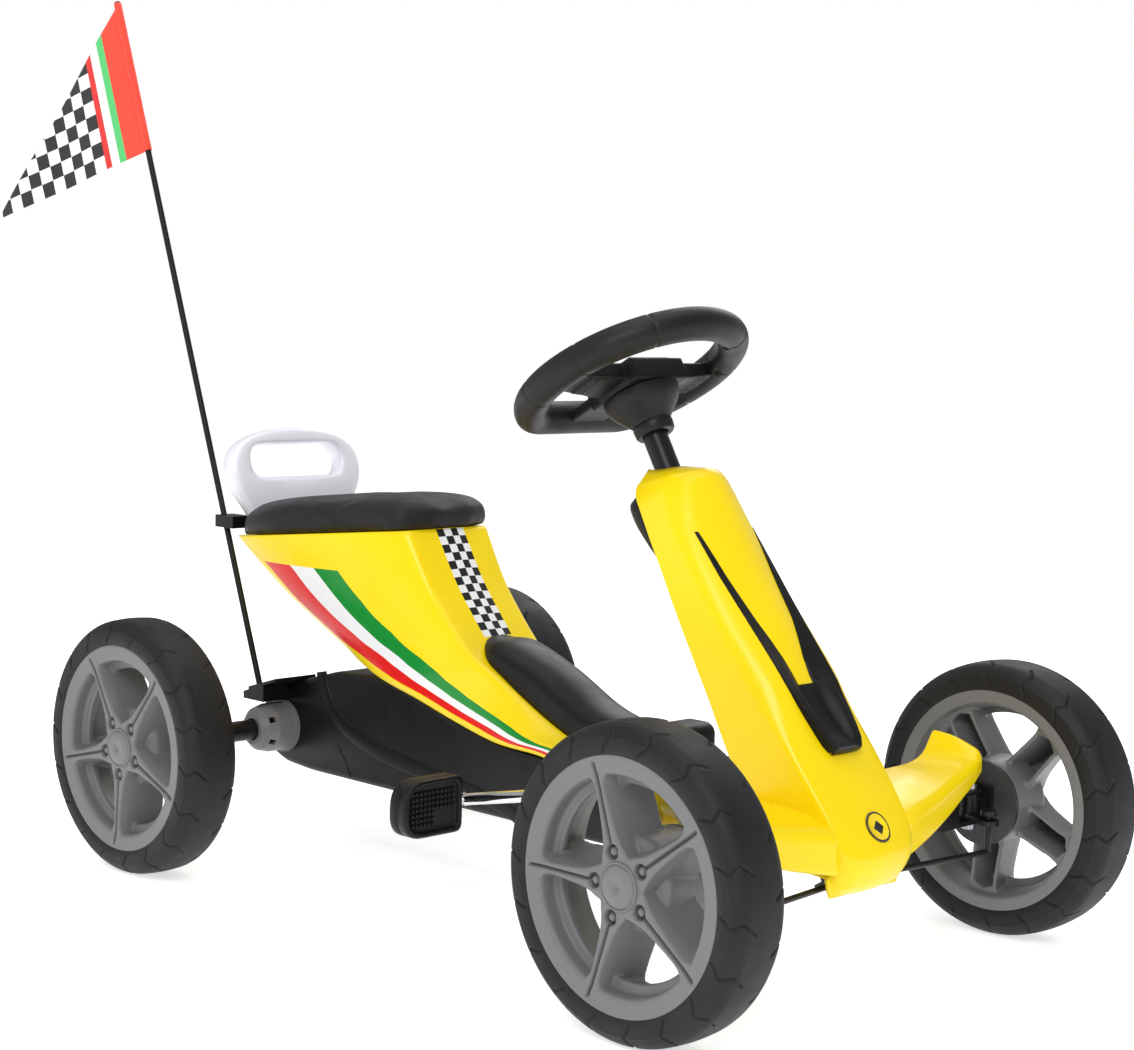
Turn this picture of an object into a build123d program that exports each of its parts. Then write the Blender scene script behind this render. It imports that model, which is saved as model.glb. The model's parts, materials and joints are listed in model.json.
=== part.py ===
from build123d import *
import math
import os

# A child's pedal go kart. Millimetres, +X forward, +Y to the driver's left, +Z up from the floor.
# Shapes are written with x measured from the rear axle; save() moves them so that the origin is
# on the floor under the middle of the whole length.

# ---- wheels
WHEEL_R = 120
TYRE_HALF = 28
RIM_R = 98
SEAT_R = 92
BARREL_R = 82
HUB_R = 37
SPOKES = 5
FIRST_SPOKE = 36
HUB_BACK = -38
WHEELBASE = 656
FRONT_Y = 232
REAR_Y = 223
AXLE_R = 6
RUNNING = 0.06

# ---- chassis, body and drive
HOUSING_HALF = 55
WALL = 2.5
BEAM_HALF = 12
REAR_TUBE_R = 10
CRANK_X, CRANK_Z, CRANK_R = 412.7, 126, 6
CRANK_ARM_Y = 110
PEDAL_X, PEDAL_Z, PEDAL_Y = 328.7, 108.8, 155
PEDAL_SIZE = (22, 66, 50)
PITCH = 12.7
ROLLER_R, GAP_R = 3.6, 4.8
CRANK_TEETH, AXLE_TEETH = 14, 12
CHAIN_Y = 18

# ---- steering
COLUMN_TOP = Vector(412, 0, 480)
COLUMN_LEAN = math.radians(59.6)
COLUMN_DIR = Vector(math.cos(COLUMN_LEAN), 0, -math.sin(COLUMN_LEAN))
COLUMN_UP = Vector(math.sin(COLUMN_LEAN), 0, math.cos(COLUMN_LEAN))
COLUMN_R = 11
PITMAN_Z = 75
PITMAN_ARM = 22
KINGPIN_Y = 178
TIE_PIN = (685, 165)
TIE_ROD_R = 2.5
STEER_R, GRIP_R = 93, 14.5

# ---- flag
POLE_FOOT = Vector(-9.6, -75, 148)
POLE_TOP = Vector(-270, -75, 846)
POLE_R = 3
FLAG_LOW = Vector(-212, -75, 691)
FLAG_TIP = Vector(-413, -130, 620)

SHIFT_X = -(FLAG_TIP.X + WHEELBASE + WHEEL_R) / 2


def save(name, *solids):
    """Writes one sub-part, moved to the origin under the middle of the kart."""
    shape = Compound(list(solids)) if len(solids) > 1 else solids[0]
    export_step(Pos(SHIFT_X, 0, 0) * shape, f"parts/{name}.step")


def block(x, y, z):
    """A box between two x, two y and two z values."""
    size = Box(x[1] - x[0], y[1] - y[0], z[1] - z[0])
    return Pos((x[0] + x[1]) / 2, (y[0] + y[1]) / 2, (z[0] + z[1]) / 2) * size


def rod(start, end, radius, bore=0):
    """A round bar or tube between two points."""
    start, end = Vector(start), Vector(end)
    plane = Plane(origin=start, z_dir=end - start)
    bar = Solid.make_cylinder(radius, (end - start).length, plane)
    if bore:
        bar -= Solid.make_cylinder(bore, (end - start).length, plane)
    return bar


def turned(profile):
    """A solid turned about the Y axis from (radius, y) points."""
    return revolve(Polygon(*profile, align=None), Axis.Y)


def ring(inner, outer, y):
    """A plain ring about the Y axis between two y values."""
    return turned([(inner, y[0]), (outer, y[0]), (outer, y[1]), (inner, y[1])])


def lofted(sections):
    """A solid through polygons of the same number of points."""
    wires = [Wire.make_polygon([Vector(p) for p in section], close=True) for section in sections]
    return Solid.make_loft(wires, ruled=True)


def side_plate(outline, y):
    """A plate across Y with an outline of (x, z) points."""
    sketch = Plane.XZ * Polygon(*outline, align=None)
    return Pos(0, y[0], 0) * extrude(sketch, y[1] - y[0], dir=(0, 1, 0))


def mirrored(shape):
    """The same piece on the other side of the kart."""
    return mirror(shape, Plane.XZ)


def column_point(z, up=0):
    """A point on the steering column's axis at a height, moved by up across it."""
    reach = (COLUMN_TOP.Z - z) / math.sin(COLUMN_LEAN)
    return COLUMN_TOP + COLUMN_DIR * reach + COLUMN_UP * up


def between(table, x):
    """A value read from (x, value) points joined by straight lines."""
    for (x0, v0), (x1, v1) in zip(table, table[1:]):
        if x <= x1:
            return v0 + (v1 - v0) * (x - x0) / (x1 - x0)
    return table[-1][1]


# ---------------------------------------------------------------- wheels
# A wheel is drawn about its own centre with its outer face towards +Y.

def spoke():
    """One channel-shaped spoke along +X: narrow outside, wider and hollow behind."""
    front = [(26, 24, -7), (88, 24, -3), (88, 24, 3), (26, 24, 7)]
    back = [(34, -18, -13), (88, -18, -10), (88, -18, 10), (34, -18, 13)]
    hollow_front = [(40, 19, -4), (80, 19, -1.5), (80, 19, 1.5), (40, 19, 4)]
    hollow_back = [(42, -18, -10), (80, -18, -7.5), (80, -18, 7.5), (42, -18, 10)]
    return lofted([front, back]) - lofted([hollow_front, hollow_back])


def rim():
    """Barrel, five spokes and hub as one moulding."""
    barrel = turned([
        (RIM_R, 26), (RIM_R, 22), (SEAT_R, 20), (SEAT_R, -20), (RIM_R, -22), (RIM_R, -26),
        (86, -26), (BARREL_R, -20), (79, 18), (79, 21), (84, 21), (84, 26),
    ])
    hub = turned([
        (9.5, 13), (17, 13), (17, 24), (30, 24), (31, 12), (HUB_R, 8), (HUB_R, -34),
        (33.5, -34), (33.5, 5), (13, 5), (13, -30), (9.5, -30),
    ])
    shape = barrel + hub
    turns = [Rot(0, FIRST_SPOKE + 360 / SPOKES * k, 0) for k in range(SPOKES)]
    for turn in turns:
        shape += turn * spoke()
    for turn in turns:
        shape -= turn * rod((24, 20, 0), (24, 30, 0), 4)
    return shape


def tyre():
    """Foam tyre with round shoulders, seated between the rim's lips."""
    profile = Polygon(
        (SEAT_R, -20), (RIM_R, -22), (RIM_R, -TYRE_HALF), (WHEEL_R, -TYRE_HALF),
        (WHEEL_R, TYRE_HALF), (RIM_R, TYRE_HALF), (RIM_R, 22), (SEAT_R, 20), align=None)
    shoulders = [v for v in profile.vertices() if v.X > WHEEL_R - 1]
    return revolve(fillet(shoulders, 15), Axis.Y)


def hub_plate():
    """Disc that closes the hub's back, with its two screws."""
    plate = ring(AXLE_R + 0.4, HUB_R, (HUB_BACK, -34))
    screws = [rod((24 * s, HUB_BACK - 1.6, 0), (24 * s, HUB_BACK, 0), 3.2) for s in (-1, 1)]
    return [plate, *screws]


def axle_nut():
    """Hexagon nut that holds a wheel on its axle."""
    hexagon = Plane.XZ * RegularPolygon(9, 6)
    return Pos(0, 13.5, 0) * extrude(hexagon, 6.5, dir=(0, 1, 0)) - rod((0, 10, 0), (0, 25, 0), AXLE_R)


def place_wheel(shape, x, y, roll=0):
    """Moves a wheel piece to its axle, rolled by some degrees; on the right it is mirrored first."""
    shape = shape if y > 0 else mirrored(shape)
    return Pos(x, y, WHEEL_R) * Rot(0, roll, 0) * shape


def wheels():
    pieces = {
        "tyre": [tyre()],
        "rim": [rim()],
        "hub_cap": [turned([(0, 21), (16.8, 21), (16.8, 24.5), (14, 26), (0, 26.5)])],
        "hub_plate": hub_plate(),
        "hub_bush": [ring(AXLE_R + RUNNING, 9.5, (-30, 13))],
    }
    corners = {
        "front_right": (WHEELBASE, -FRONT_Y, 0), "front_left": (WHEELBASE, FRONT_Y, -12),
        "rear_right": (0, -REAR_Y, -14), "rear_left": (0, REAR_Y, 0),
    }
    for corner, (x, y, roll) in corners.items():
        for piece, solids in pieces.items():
            save(f"{corner}_{piece}", *[place_wheel(s, x, y, roll) for s in solids])


# ---------------------------------------------------------------- chain drive

def chain_route():
    """Chainring, rear sprocket and the run between them: centres, pitch radii and the tangent angle."""
    front_r = PITCH / 2 / math.sin(math.pi / CRANK_TEETH)
    rear_r = PITCH / 2 / math.sin(math.pi / AXLE_TEETH)
    slope = math.atan2(CRANK_Z - WHEEL_R, CRANK_X)
    distance = math.hypot(CRANK_X, CRANK_Z - WHEEL_R)
    wrap = math.asin((front_r - rear_r) / distance)
    return front_r, rear_r, slope, distance, wrap


def chain_points():
    """Roller centres, one pitch apart, starting where the top run leaves the rear sprocket."""
    front_r, rear_r, slope, distance, wrap = chain_route()
    straight = distance * math.cos(wrap)
    front_span = math.pi + 2 * wrap
    rear_span = math.pi - 2 * wrap
    lengths = [
        straight / PITCH, front_span / (2 * math.pi) * CRANK_TEETH,
        straight / PITCH, rear_span / (2 * math.pi) * AXLE_TEETH,
    ]
    count = round(sum(lengths))
    scale = sum(lengths) / count
    top = slope + math.pi / 2 + wrap
    bottom = slope - math.pi / 2 - wrap

    def on_circle(centre, radius, angle):
        return Vector(centre[0] + radius * math.cos(angle), 0, centre[1] + radius * math.sin(angle))

    rear, front = (0, WHEEL_R), (CRANK_X, CRANK_Z)
    points = []
    for k in range(count):
        s = k * scale
        if s < lengths[0]:
            ends = on_circle(rear, rear_r, top), on_circle(front, front_r, top)
            points.append(ends[0] + (ends[1] - ends[0]) * (s / lengths[0]))
            continue
        s -= lengths[0]
        if s < lengths[1]:
            points.append(on_circle(front, front_r, top - s / lengths[1] * front_span))
            continue
        s -= lengths[1]
        if s < lengths[2]:
            ends = on_circle(front, front_r, bottom), on_circle(rear, rear_r, bottom)
            points.append(ends[0] + (ends[1] - ends[0]) * (s / lengths[2]))
            continue
        s -= lengths[2]
        points.append(on_circle(rear, rear_r, bottom - s / lengths[3] * rear_span))
    return points


def chain():
    """Roller chain: a pin and roller at each pitch between two link-plate loops."""
    points = chain_points()
    loops = []
    for y in (-4.4, 3.2):
        outer = Wire.make_polygon([Vector(p.X, 0, p.Z) for p in points], close=True)
        face = Face(outer.offset_2d(3.6)) - Face(outer.offset_2d(-3.6))
        loops.append(Pos(0, CHAIN_Y + y, 0) * extrude(face, 1.2, dir=(0, 1, 0)))
    rollers = [
        rod((p.X, CHAIN_Y - 3.2, p.Z), (p.X, CHAIN_Y + 3.2, p.Z), ROLLER_R) for p in points
    ]
    return loops + rollers


def sprocket(teeth, bore, centre, near):
    """Toothed disc whose gaps meet the chain's rollers; near is a roller centre on it."""
    pitch_r = PITCH / 2 / math.sin(math.pi / teeth)
    disc = ring(bore, pitch_r + 1.2, (CHAIN_Y - 1.5, CHAIN_Y + 1.5))
    phase = math.atan2(near.Z - centre[1], near.X - centre[0])
    for k in range(teeth):
        angle = phase + 2 * math.pi * k / teeth
        x, z = pitch_r * math.cos(angle), pitch_r * math.sin(angle)
        disc -= rod((x, CHAIN_Y - 2, z), (x, CHAIN_Y + 2, z), GAP_R)
    boss = ring(bore, bore + 5, (CHAIN_Y + 1.5, CHAIN_Y + 9))
    return Pos(centre[0], 0, centre[1]) * (disc + boss)


def drive():
    points = chain_points()
    front = min(points, key=lambda p: abs(p.Z - CRANK_Z) + WHEELBASE - p.X)
    rear = min(points, key=lambda p: abs(p.Z - WHEEL_R) + p.X)
    save("drive_chain", *chain())
    save("chainring", sprocket(CRANK_TEETH, CRANK_R, (CRANK_X, CRANK_Z), front))
    save("rear_sprocket", sprocket(AXLE_TEETH, REAR_TUBE_R, (0, WHEEL_R), rear))

    shoulder = REAR_Y + HUB_BACK - 1
    axle = rod((0, -shoulder, WHEEL_R), (0, shoulder, WHEEL_R), REAR_TUBE_R)
    axle += rod((0, -REAR_Y - 20, WHEEL_R), (0, REAR_Y + 20, WHEEL_R), AXLE_R)
    save("rear_axle", axle)
    save("rear_axle_nuts", *[place_wheel(axle_nut(), 0, y) for y in (-REAR_Y, REAR_Y)])


def crank():
    """One bent bar: spindle, arm, axle, arm, spindle; the right pedal is the rear one at rest."""
    rise = Vector(CRANK_X - PEDAL_X, 0, CRANK_Z - PEDAL_Z)
    axle_end = Vector(CRANK_X, CRANK_ARM_Y, CRANK_Z)
    bar = rod((CRANK_X, -CRANK_ARM_Y, CRANK_Z), axle_end, CRANK_R)
    for side in (-1, 1):
        root = Vector(CRANK_X, side * CRANK_ARM_Y, CRANK_Z)
        tip = root + rise * side
        end = Vector(tip.X, side * (PEDAL_Y + PEDAL_SIZE[1] / 2 - 2), tip.Z)
        bar += rod(root, tip, CRANK_R - 0.5)
        bar += rod(tip, end, 4)
        for corner in (root, tip):
            bar += Pos(corner) * Sphere(CRANK_R)
    return bar


def pedal(side):
    """Block pedal with a bored middle and raised tread bars on both faces."""
    rise = Vector(CRANK_X - PEDAL_X, 0, CRANK_Z - PEDAL_Z)
    centre = Vector(CRANK_X, 0, CRANK_Z) + rise * side
    depth, width, height = PEDAL_SIZE
    body = Box(depth - 4, width, height)
    body = fillet(body.edges().filter_by(Axis.Y), 6)
    for face in (-1, 1):
        for row in (-2, -1, 0, 1, 2):
            body += Pos(face * (depth / 2 - 2), 0, row * 8) * Box(4, width - 10, 3)
    shape = Pos(centre.X, side * PEDAL_Y, centre.Z) * body
    inner = side * (CRANK_ARM_Y + 2)
    return shape - rod((centre.X, inner, centre.Z), (centre.X, side * 200, centre.Z), 4 + RUNNING)


# ---------------------------------------------------------------- chassis

def frame():
    """Welded frame: main tube, rear fork, front side plates and the steering post."""
    tube = block((50, 585), (-BEAM_HALF, BEAM_HALF), (84, 104))
    tube -= block((52, 583), (-BEAM_HALF + 2, BEAM_HALF - 2), (86, 102))
    fork = block((30, 90), (-39, 39), (84.5, 89))
    for y in ((-39, -36), (36, 39)):
        cheek = side_plate([(-22, 105), (22, 86), (60, 84.5), (60, 100), (22, 142), (-22, 142)], y)
        fork += cheek - rod((0, y[0], WHEEL_R), (0, y[1], WHEEL_R), REAR_TUBE_R + 1)
    shape = tube + fork
    outline = [(540, 84), (590, 84), (646, 109), (646, 131), (632, 131), (606, 190), (572, 190),
               (590, 140), (560, 104), (540, 104)]
    for y in ((-15, -BEAM_HALF), (BEAM_HALF, 15)):
        shape += side_plate(outline, y)
    post = rod(column_point(382), column_point(165), 15)
    shape += post
    return shape - rod(column_point(384), column_point(163), 13)


def column_bushes():
    """Upper and lower bushes in the post, and the block that guides the column's thin end."""
    upper = rod(column_point(396), column_point(368), COLUMN_R + 2 - 0.05, COLUMN_R + RUNNING)
    upper += rod(column_point(396), column_point(384), 16, COLUMN_R + RUNNING)
    lower = rod(column_point(195), column_point(170), COLUMN_R + 2 - 0.05, COLUMN_R + RUNNING)
    plane = Plane(origin=column_point(121), z_dir=COLUMN_DIR, x_dir=(0, 1, 0))
    guide = plane * Box(2 * BEAM_HALF, 18, 16)
    guide -= rod(column_point(140), column_point(100), AXLE_R + RUNNING)
    return [upper, lower, guide]


def front_axle_beam():
    """Box tube with a clevis at each end for the kingpin."""
    beam = block((WHEELBASE - 10, WHEELBASE + 10), (-150, 150), (109, 131))
    beam -= block((WHEELBASE - 8, WHEELBASE + 8), (-148, 148), (111, 129))
    for side in (-1, 1):
        pin = (WHEELBASE, side * KINGPIN_Y)
        for low, high in ((105.5, 109), (131, 134)):
            near, far = sorted((side * 125, side * KINGPIN_Y))
            ear = block((WHEELBASE - 10, WHEELBASE + 10), (near, far), (low, high))
            ear += rod((*pin, low), (*pin, high), 10)
            beam += ear - rod((*pin, low), (*pin, high), 4)
    return beam


def kingpin(side):
    """Bolt through the clevis and the knuckle, with its head and nut."""
    x, y = WHEELBASE, side * KINGPIN_Y
    bolt = rod((x, y, 99), (x, y, 134), 4)
    bolt += rod((x, y, 134), (x, y, 139), 6.5)
    return bolt + rod((x, y, 100), (x, y, 105.5), 6.5)


def knuckle():
    """Left steering knuckle: sleeve, stub axle, square flange and forward steering arm."""
    x, y = WHEELBASE, KINGPIN_Y
    sleeve = rod((x, y, 109.4), (x, y, 130.6), 9)
    sleeve += rod((x, y, WHEEL_R), (x, FRONT_Y + HUB_BACK - 0.5, WHEEL_R), 8.5)
    sleeve += rod((x, y, WHEEL_R), (x, FRONT_Y + 20, WHEEL_R), AXLE_R)
    sleeve += block((x - 15, x + 15), (y + 10.6, y + 14), (103, 137))
    tip = Vector(*TIE_PIN, 0)
    lean = math.degrees(math.atan2(tip.Y - y, tip.X - x))
    reach = math.hypot(tip.X - x, tip.Y - y)
    arm = Pos(x, y, 111.6) * Rot(0, 0, lean) * Pos(reach / 2, 0, 0) * Box(reach, 14, 4.2)
    arm += rod((*TIE_PIN, 109.5), (*TIE_PIN, 113.7), 9)
    shape = sleeve + arm
    shape -= rod((x, y, 100), (x, y, 140), 4 + RUNNING)
    return shape - rod((*TIE_PIN, 100), (*TIE_PIN, 120), 5.5)


def tie_rod():
    """Left tie rod: an eye on the pitman's pin, a thin bar and a pin up through the knuckle's arm."""
    eye = column_point(PITMAN_Z, PITMAN_ARM) + Vector(0, 9, 0)
    low = Vector(*TIE_PIN, eye.Z)
    bar = rod(eye - COLUMN_DIR * 3, eye + COLUMN_DIR * 3, 6)
    bar += rod(eye, low, TIE_ROD_R)
    bar += Pos(low) * Sphere(TIE_ROD_R)
    bar += rod(low, (*TIE_PIN, 118), TIE_ROD_R)
    bar += rod((*TIE_PIN, 118), (*TIE_PIN, 122), 7)
    return bar - rod(eye - COLUMN_DIR * 8, eye + COLUMN_DIR * 8, 3 + RUNNING)


def steering_column():
    """Tube, thin lower rod, and the pitman plate with the tie rods' two pins."""
    end = column_point(PITMAN_Z)
    bar = rod(COLUMN_TOP + COLUMN_DIR * 30, column_point(160), COLUMN_R)
    bar += rod(column_point(162), end - COLUMN_DIR * 3, AXLE_R)
    plane = Plane(origin=end - COLUMN_DIR * 7.2, x_dir=(0, 1, 0), z_dir=COLUMN_DIR)
    forward = 1 if plane.to_local_coords(end + COLUMN_UP * 10).Y > 0 else -1
    outline = Polygon((-9, -9 * forward), (9, -9 * forward), (16, (PITMAN_ARM + 6) * forward),
                      (-16, (PITMAN_ARM + 6) * forward), align=None)
    bar += extrude(plane * outline, 4, dir=COLUMN_DIR)
    for side in (-9, 9):
        pin = column_point(PITMAN_Z, PITMAN_ARM) + Vector(0, side, 0)
        bar += rod(pin - COLUMN_DIR * 7, pin + COLUMN_DIR * 3.6, 3)
    return bar


# ---------------------------------------------------------------- steering wheel
# Drawn on the wheel's own plane: first number across the kart, second towards the front.

def steer_point(across, ahead, depth=0):
    return COLUMN_TOP + COLUMN_DIR * depth + COLUMN_UP * ahead + Vector(0, across, 0)


def steering_rim():
    """Grip ring: a circle closed by a straight run on the driver's side."""
    flat, corner = -76, 26
    reach = STEER_R - corner
    side = math.sqrt(reach ** 2 - (flat + corner) ** 2)
    touch = (side / reach * STEER_R, (flat + corner) / reach * STEER_R)
    bend = math.atan2(flat + corner, side)
    middle = (bend - math.pi / 2) / 2
    low = [(s * (side + corner * math.cos(middle)), flat + corner + corner * math.sin(middle))
           for s in (-1, 1)]
    path = Wire([
        Edge.make_three_point_arc(steer_point(-touch[0], touch[1]), steer_point(0, STEER_R),
                                  steer_point(*touch)),
        Edge.make_three_point_arc(steer_point(*touch), steer_point(*low[1]),
                                  steer_point(side, flat)),
        Edge.make_line(steer_point(side, flat), steer_point(-side, flat)),
        Edge.make_three_point_arc(steer_point(-side, flat), steer_point(*low[0]),
                                  steer_point(-touch[0], touch[1])),
    ])
    section = Plane(origin=steer_point(0, STEER_R), z_dir=(0, 1, 0)) * Circle(GRIP_R)
    return sweep(section, path=path)


def steer_box(across, ahead, depth):
    """A block in the steering wheel's axes between pairs of values."""
    corners = [(across[i], ahead[j]) for i, j in ((0, 0), (1, 0), (1, 1), (0, 1))]
    return lofted([[steer_point(a, b, d) for a, b in corners] for d in depth])


def steering_hub():
    """Centre boss with three spokes that reach into the grip ring."""
    hub = steer_box((-34, 34), (-30, 34), (2, 20))
    for side in (-1, 1):
        near, far = sorted((side * 30, side * (STEER_R - 4)))
        hub += steer_box((near, far), (-8, 20), (-4, 12))
    hub += steer_box((-20, 20), (-74, -26), (0, 12))
    return hub - steering_rim()


def steering_bowl():
    """Round cup under the boss that takes the column, with its clamp screw."""
    bowl = lofted([
        [steer_point(r * math.cos(t), 2 + r * math.sin(t), d)
         for t in [math.pi / 6 * k for k in range(12)]]
        for d, r in ((20.2, 34), (34, 28), (46, 17), (58, 15.5))
    ])
    return bowl - rod(steer_point(0, 0, 30), steer_point(0, 0, 60), COLUMN_R)


# ---------------------------------------------------------------- plastic body

ROOF = [(-38, 118), (-38, 138), (-18, 156), (25, 169), (80, 184), (148, 187)]
LOWER_EDGE = [(148, 187), (175, 182), (260, 159), (312, 149), (369, 146), (420, 136.5), (470, 128),
              (504, 118)]
FLOOR = [(512, 100), (505, 80), (40, 80), (0, 83), (-32, 98)]
RIDGE = [(170, 222), (215, 224), (260, 221), (284, 211), (317, 190), (369, 166), (420, 153),
         (470, 141), (504, 127)]
SPINE = [(248, 238), (279, 234), (332, 217), (383, 192), (415, 182), (460, 172), (505, 160)]
DECK_SLOPE = math.degrees(math.atan2(23, 240))
DECK = Plane(origin=(-60, 0, 305.5), x_dir=(240, 0, 23), z_dir=(-23, 0, 240))


def housing_outer():
    return side_plate(ROOF + LOWER_EDGE[1:] + FLOOR, (-HOUSING_HALF, HOUSING_HALF))


def housing():
    """Both halves of the chain case, open above where the seat shell closes them."""
    outer = housing_outer()
    outer = fillet(outer.edges().filter_by(lambda e: abs(e.center().Y) > 54 and e.center().X < 148
                                           and e.center().Z > 140), 6)
    roof = [(x + (WALL if x < 0 else 0), z - WALL) for x, z in ROOF]
    rim_line = [(x, z + 6) for x, z in LOWER_EDGE[1:]]
    floor = [(509, 101), (503, 82.5), (41, 82.5), (1, 85.5), (-30, 100)]
    inner_half = HOUSING_HALF - WALL
    cavity = side_plate(roof + rim_line + floor, (-inner_half, inner_half))
    shell = outer - cavity
    shell -= rod((0, -60, WHEEL_R), (0, 60, WHEEL_R), 15)
    shell -= rod((CRANK_X, -60, CRANK_Z), (CRANK_X, 60, CRANK_Z), 8)
    shell -= block((480, 520), (-BEAM_HALF - 1, BEAM_HALF + 1), (83, 105))
    left = shell & block((-60, 540), (0.1, 60), (60, 240))
    return mirrored(left), left


def housing_screws():
    """Countersunk-style screw heads along the left half."""
    places = [(40, 158), (40, 95), (150, 100), (300, 100), (440, 95), (490, 100)]
    return [rod((x, HOUSING_HALF, z), (x, HOUSING_HALF + 1.5, z), 4) for x, z in places]


SHELL_RINGS = [
    # height, then (x, half width) from the rear round to the front
    (350, [(-70, 48), (-28, 87), (4, 95), (160, 54), (166, 25)]),
    (306, [(-58, 48), (-22, 86), (6, 94), (185, 54), (194, 25)]),
    (280, [(-30, 46), (0, 77), (24, 84), (202, 53), (212, 25)]),
    (248, [(8, 44), (33, 69), (56, 76), (226, 52), (238, 25)]),
    (216, [(65, 40), (87, 62), (108, 68), (252, 50), (262, 25)]),
    (187, [(135, 37), (154, 56), (170, 60), (285, 48), (295, 25)]),
    (160, [(215, 37), (230, 53), (244, 57), (315, 48), (325, 25)]),
]


def shell_column(inset, top_drop=0):
    """The upright part of the seat shell; inset gives its inside."""
    rings = []
    for z, points in SHELL_RINGS:
        middle = sum(x for x, _ in points) / len(points)
        moved = [(x + inset * (1 if x < middle else -1), y - inset) for x, y in points]
        loop = [(x, y, z) for x, y in moved] + [(x, -y, z) for x, y in reversed(moved)]
        rings.append(loop)
    solid = lofted(rings)
    lid = Plane(origin=DECK.origin - DECK.z_dir * top_drop, x_dir=DECK.x_dir, z_dir=DECK.z_dir)
    return split(solid, bisect_by=lid, keep=Keep.BOTTOM)


def shell_apron(inset, drop):
    """The part of the seat shell that runs forward over the chain case."""
    sections = []
    for x, top in RIDGE:
        low = between(LOWER_EDGE, x) - drop
        wide = HOUSING_HALF + 2.4 - inset
        half = [(wide, low), (wide - 1.5, low + 9 + drop), (38 - inset, top - inset)]
        loop = [(x, y, z) for y, z in half] + [(x, -y, z) for y, z in reversed(half)]
        sections.append(loop)
    return lofted(sections)


def seat_shell():
    """Thin saddle: hollow below, with a deck under the seat pad and a slot under the spine cover."""
    outer = shell_column(0) + shell_apron(0, 0)
    inner = shell_column(3, 3) + shell_apron(2.4, 15)
    shell = outer - inner
    shell -= block((296, 520), (-31, 31), (60, 260))
    shell -= housing_outer()
    shell -= block((503, 520), (-60, 60), (60, 200))
    return max(shell.solids(), key=lambda s: s.volume)


def deck_loop(rise, inset):
    """The seat pad's outline at a height over the deck."""
    points = [(-29 + inset, 52 - inset), (-14 + inset, 88 - inset), (12, 97 - inset),
              (176 - inset, 58 - inset), (188 - inset, 26 - inset / 2)]
    loop = points + [(x, -y) for x, y in reversed(points)]
    base = Vector(-60, 0, 305.5) + DECK.z_dir * rise
    return [base + DECK.x_dir * ((x + 60) / DECK.x_dir.X) + Vector(0, y, 0) for x, y in loop]


def seat_pad():
    return lofted([deck_loop(0.1, 0), deck_loop(20, -1), deck_loop(29, 9), deck_loop(33.5, 24)])


def grab_handle():
    """Backrest and hand grip in one, leaning back over the rear of the deck."""
    plane = Plane(origin=(-58, 0, 307), x_dir=(0, 1, 0), z_dir=Vector(1, 0, 0.26))
    outline = [(-60, 0), (-62, 16), (-82, 46), (-83, 66), (-72, 84), (-54, 96), (-25, 102)]
    outline += [(-y, z) for y, z in reversed(outline)]
    plate = extrude(plane * Polygon(*outline, align=None), 24, dir=plane.z_dir)
    hole = extrude(plane * Pos(0, 70, 0) * RectangleRounded(112, 33, 14), 24, dir=plane.z_dir)
    trimmed = (plate - hole) & block((-120, -30.5), (-100, 100), (300, 430))
    return split(trimmed, bisect_by=DECK, keep=Keep.TOP)


def spine_cover():
    """Black half-round cover along the top of the apron."""
    def section(x, top, low, half):
        arc = [(half * math.cos(math.pi * k / 8), low + (top - low) * math.sin(math.pi * k / 8))
               for k in range(9)]
        return [(x, y, z) for y, z in arc]

    outer, inner = [], []
    for x, top in SPINE:
        low = between(RIDGE, x) + 0.4
        outer.append(section(x, top, low, 35 if x > 260 else 18))
        inner.append(section(x, top - WALL, low - 4, 32.5 if x > 260 else 15))
    inner[0] = [(x + 6, y, z) for x, y, z in inner[0]]
    inner[-1] = [(x - WALL, y, z) for x, y, z in inner[-1]]
    return lofted(outer) - lofted(inner) - shell_column(0) - shell_apron(0, 0)


FAIRING_RINGS = [
    # height, rear edge, side ridge, front, half width
    (397, 452, 488, 523, 36),
    (380, 464, 499, 534, 44),
    (340, 489, 522, 559, 50),
    (301, 513, 553, 584, 53),
    (222, 560, 617, 634, 55),
    (182, 582, 655, 660, 55),
    (137, 608, 688, 690, 52),
    (112, 624, 695, 705, 50),
    (90, 641, 684, 697, 46),
    (80, 668, 677, 684, 42),
]


def fairing_loop(z, rear, ridge, front, half, inset=0, back=0):
    side = half - inset
    points = [(rear - back, side), (ridge - inset, side * 0.9), (front - inset, side * 0.5)]
    return [(x, y, z) for x, y in points] + [(x, -y, z) for x, y in reversed(points)]


def fairing():
    """Front shield: a channel open behind and below, closed on top around the column."""
    outer = lofted([fairing_loop(*ring) for ring in FAIRING_RINGS])
    inner_rings = [(z - 3 if k == 0 else z, *rest) for k, (z, *rest) in enumerate(FAIRING_RINGS)]
    inner_rings[-1] = (79, *inner_rings[-1][1:])
    inner = lofted([fairing_loop(*ring, inset=3, back=30) for ring in inner_rings])
    top = block((430, 540), (-60, 60), (394, 400))
    shell = outer - (inner - top)
    shell -= rod(column_point(430), column_point(360), 16.3)
    shell -= block((560, WHEELBASE + 12.5), (-60, 60), (104, 137))
    return shell - block((560, 678), (-60, 60), (70, 91))


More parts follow.
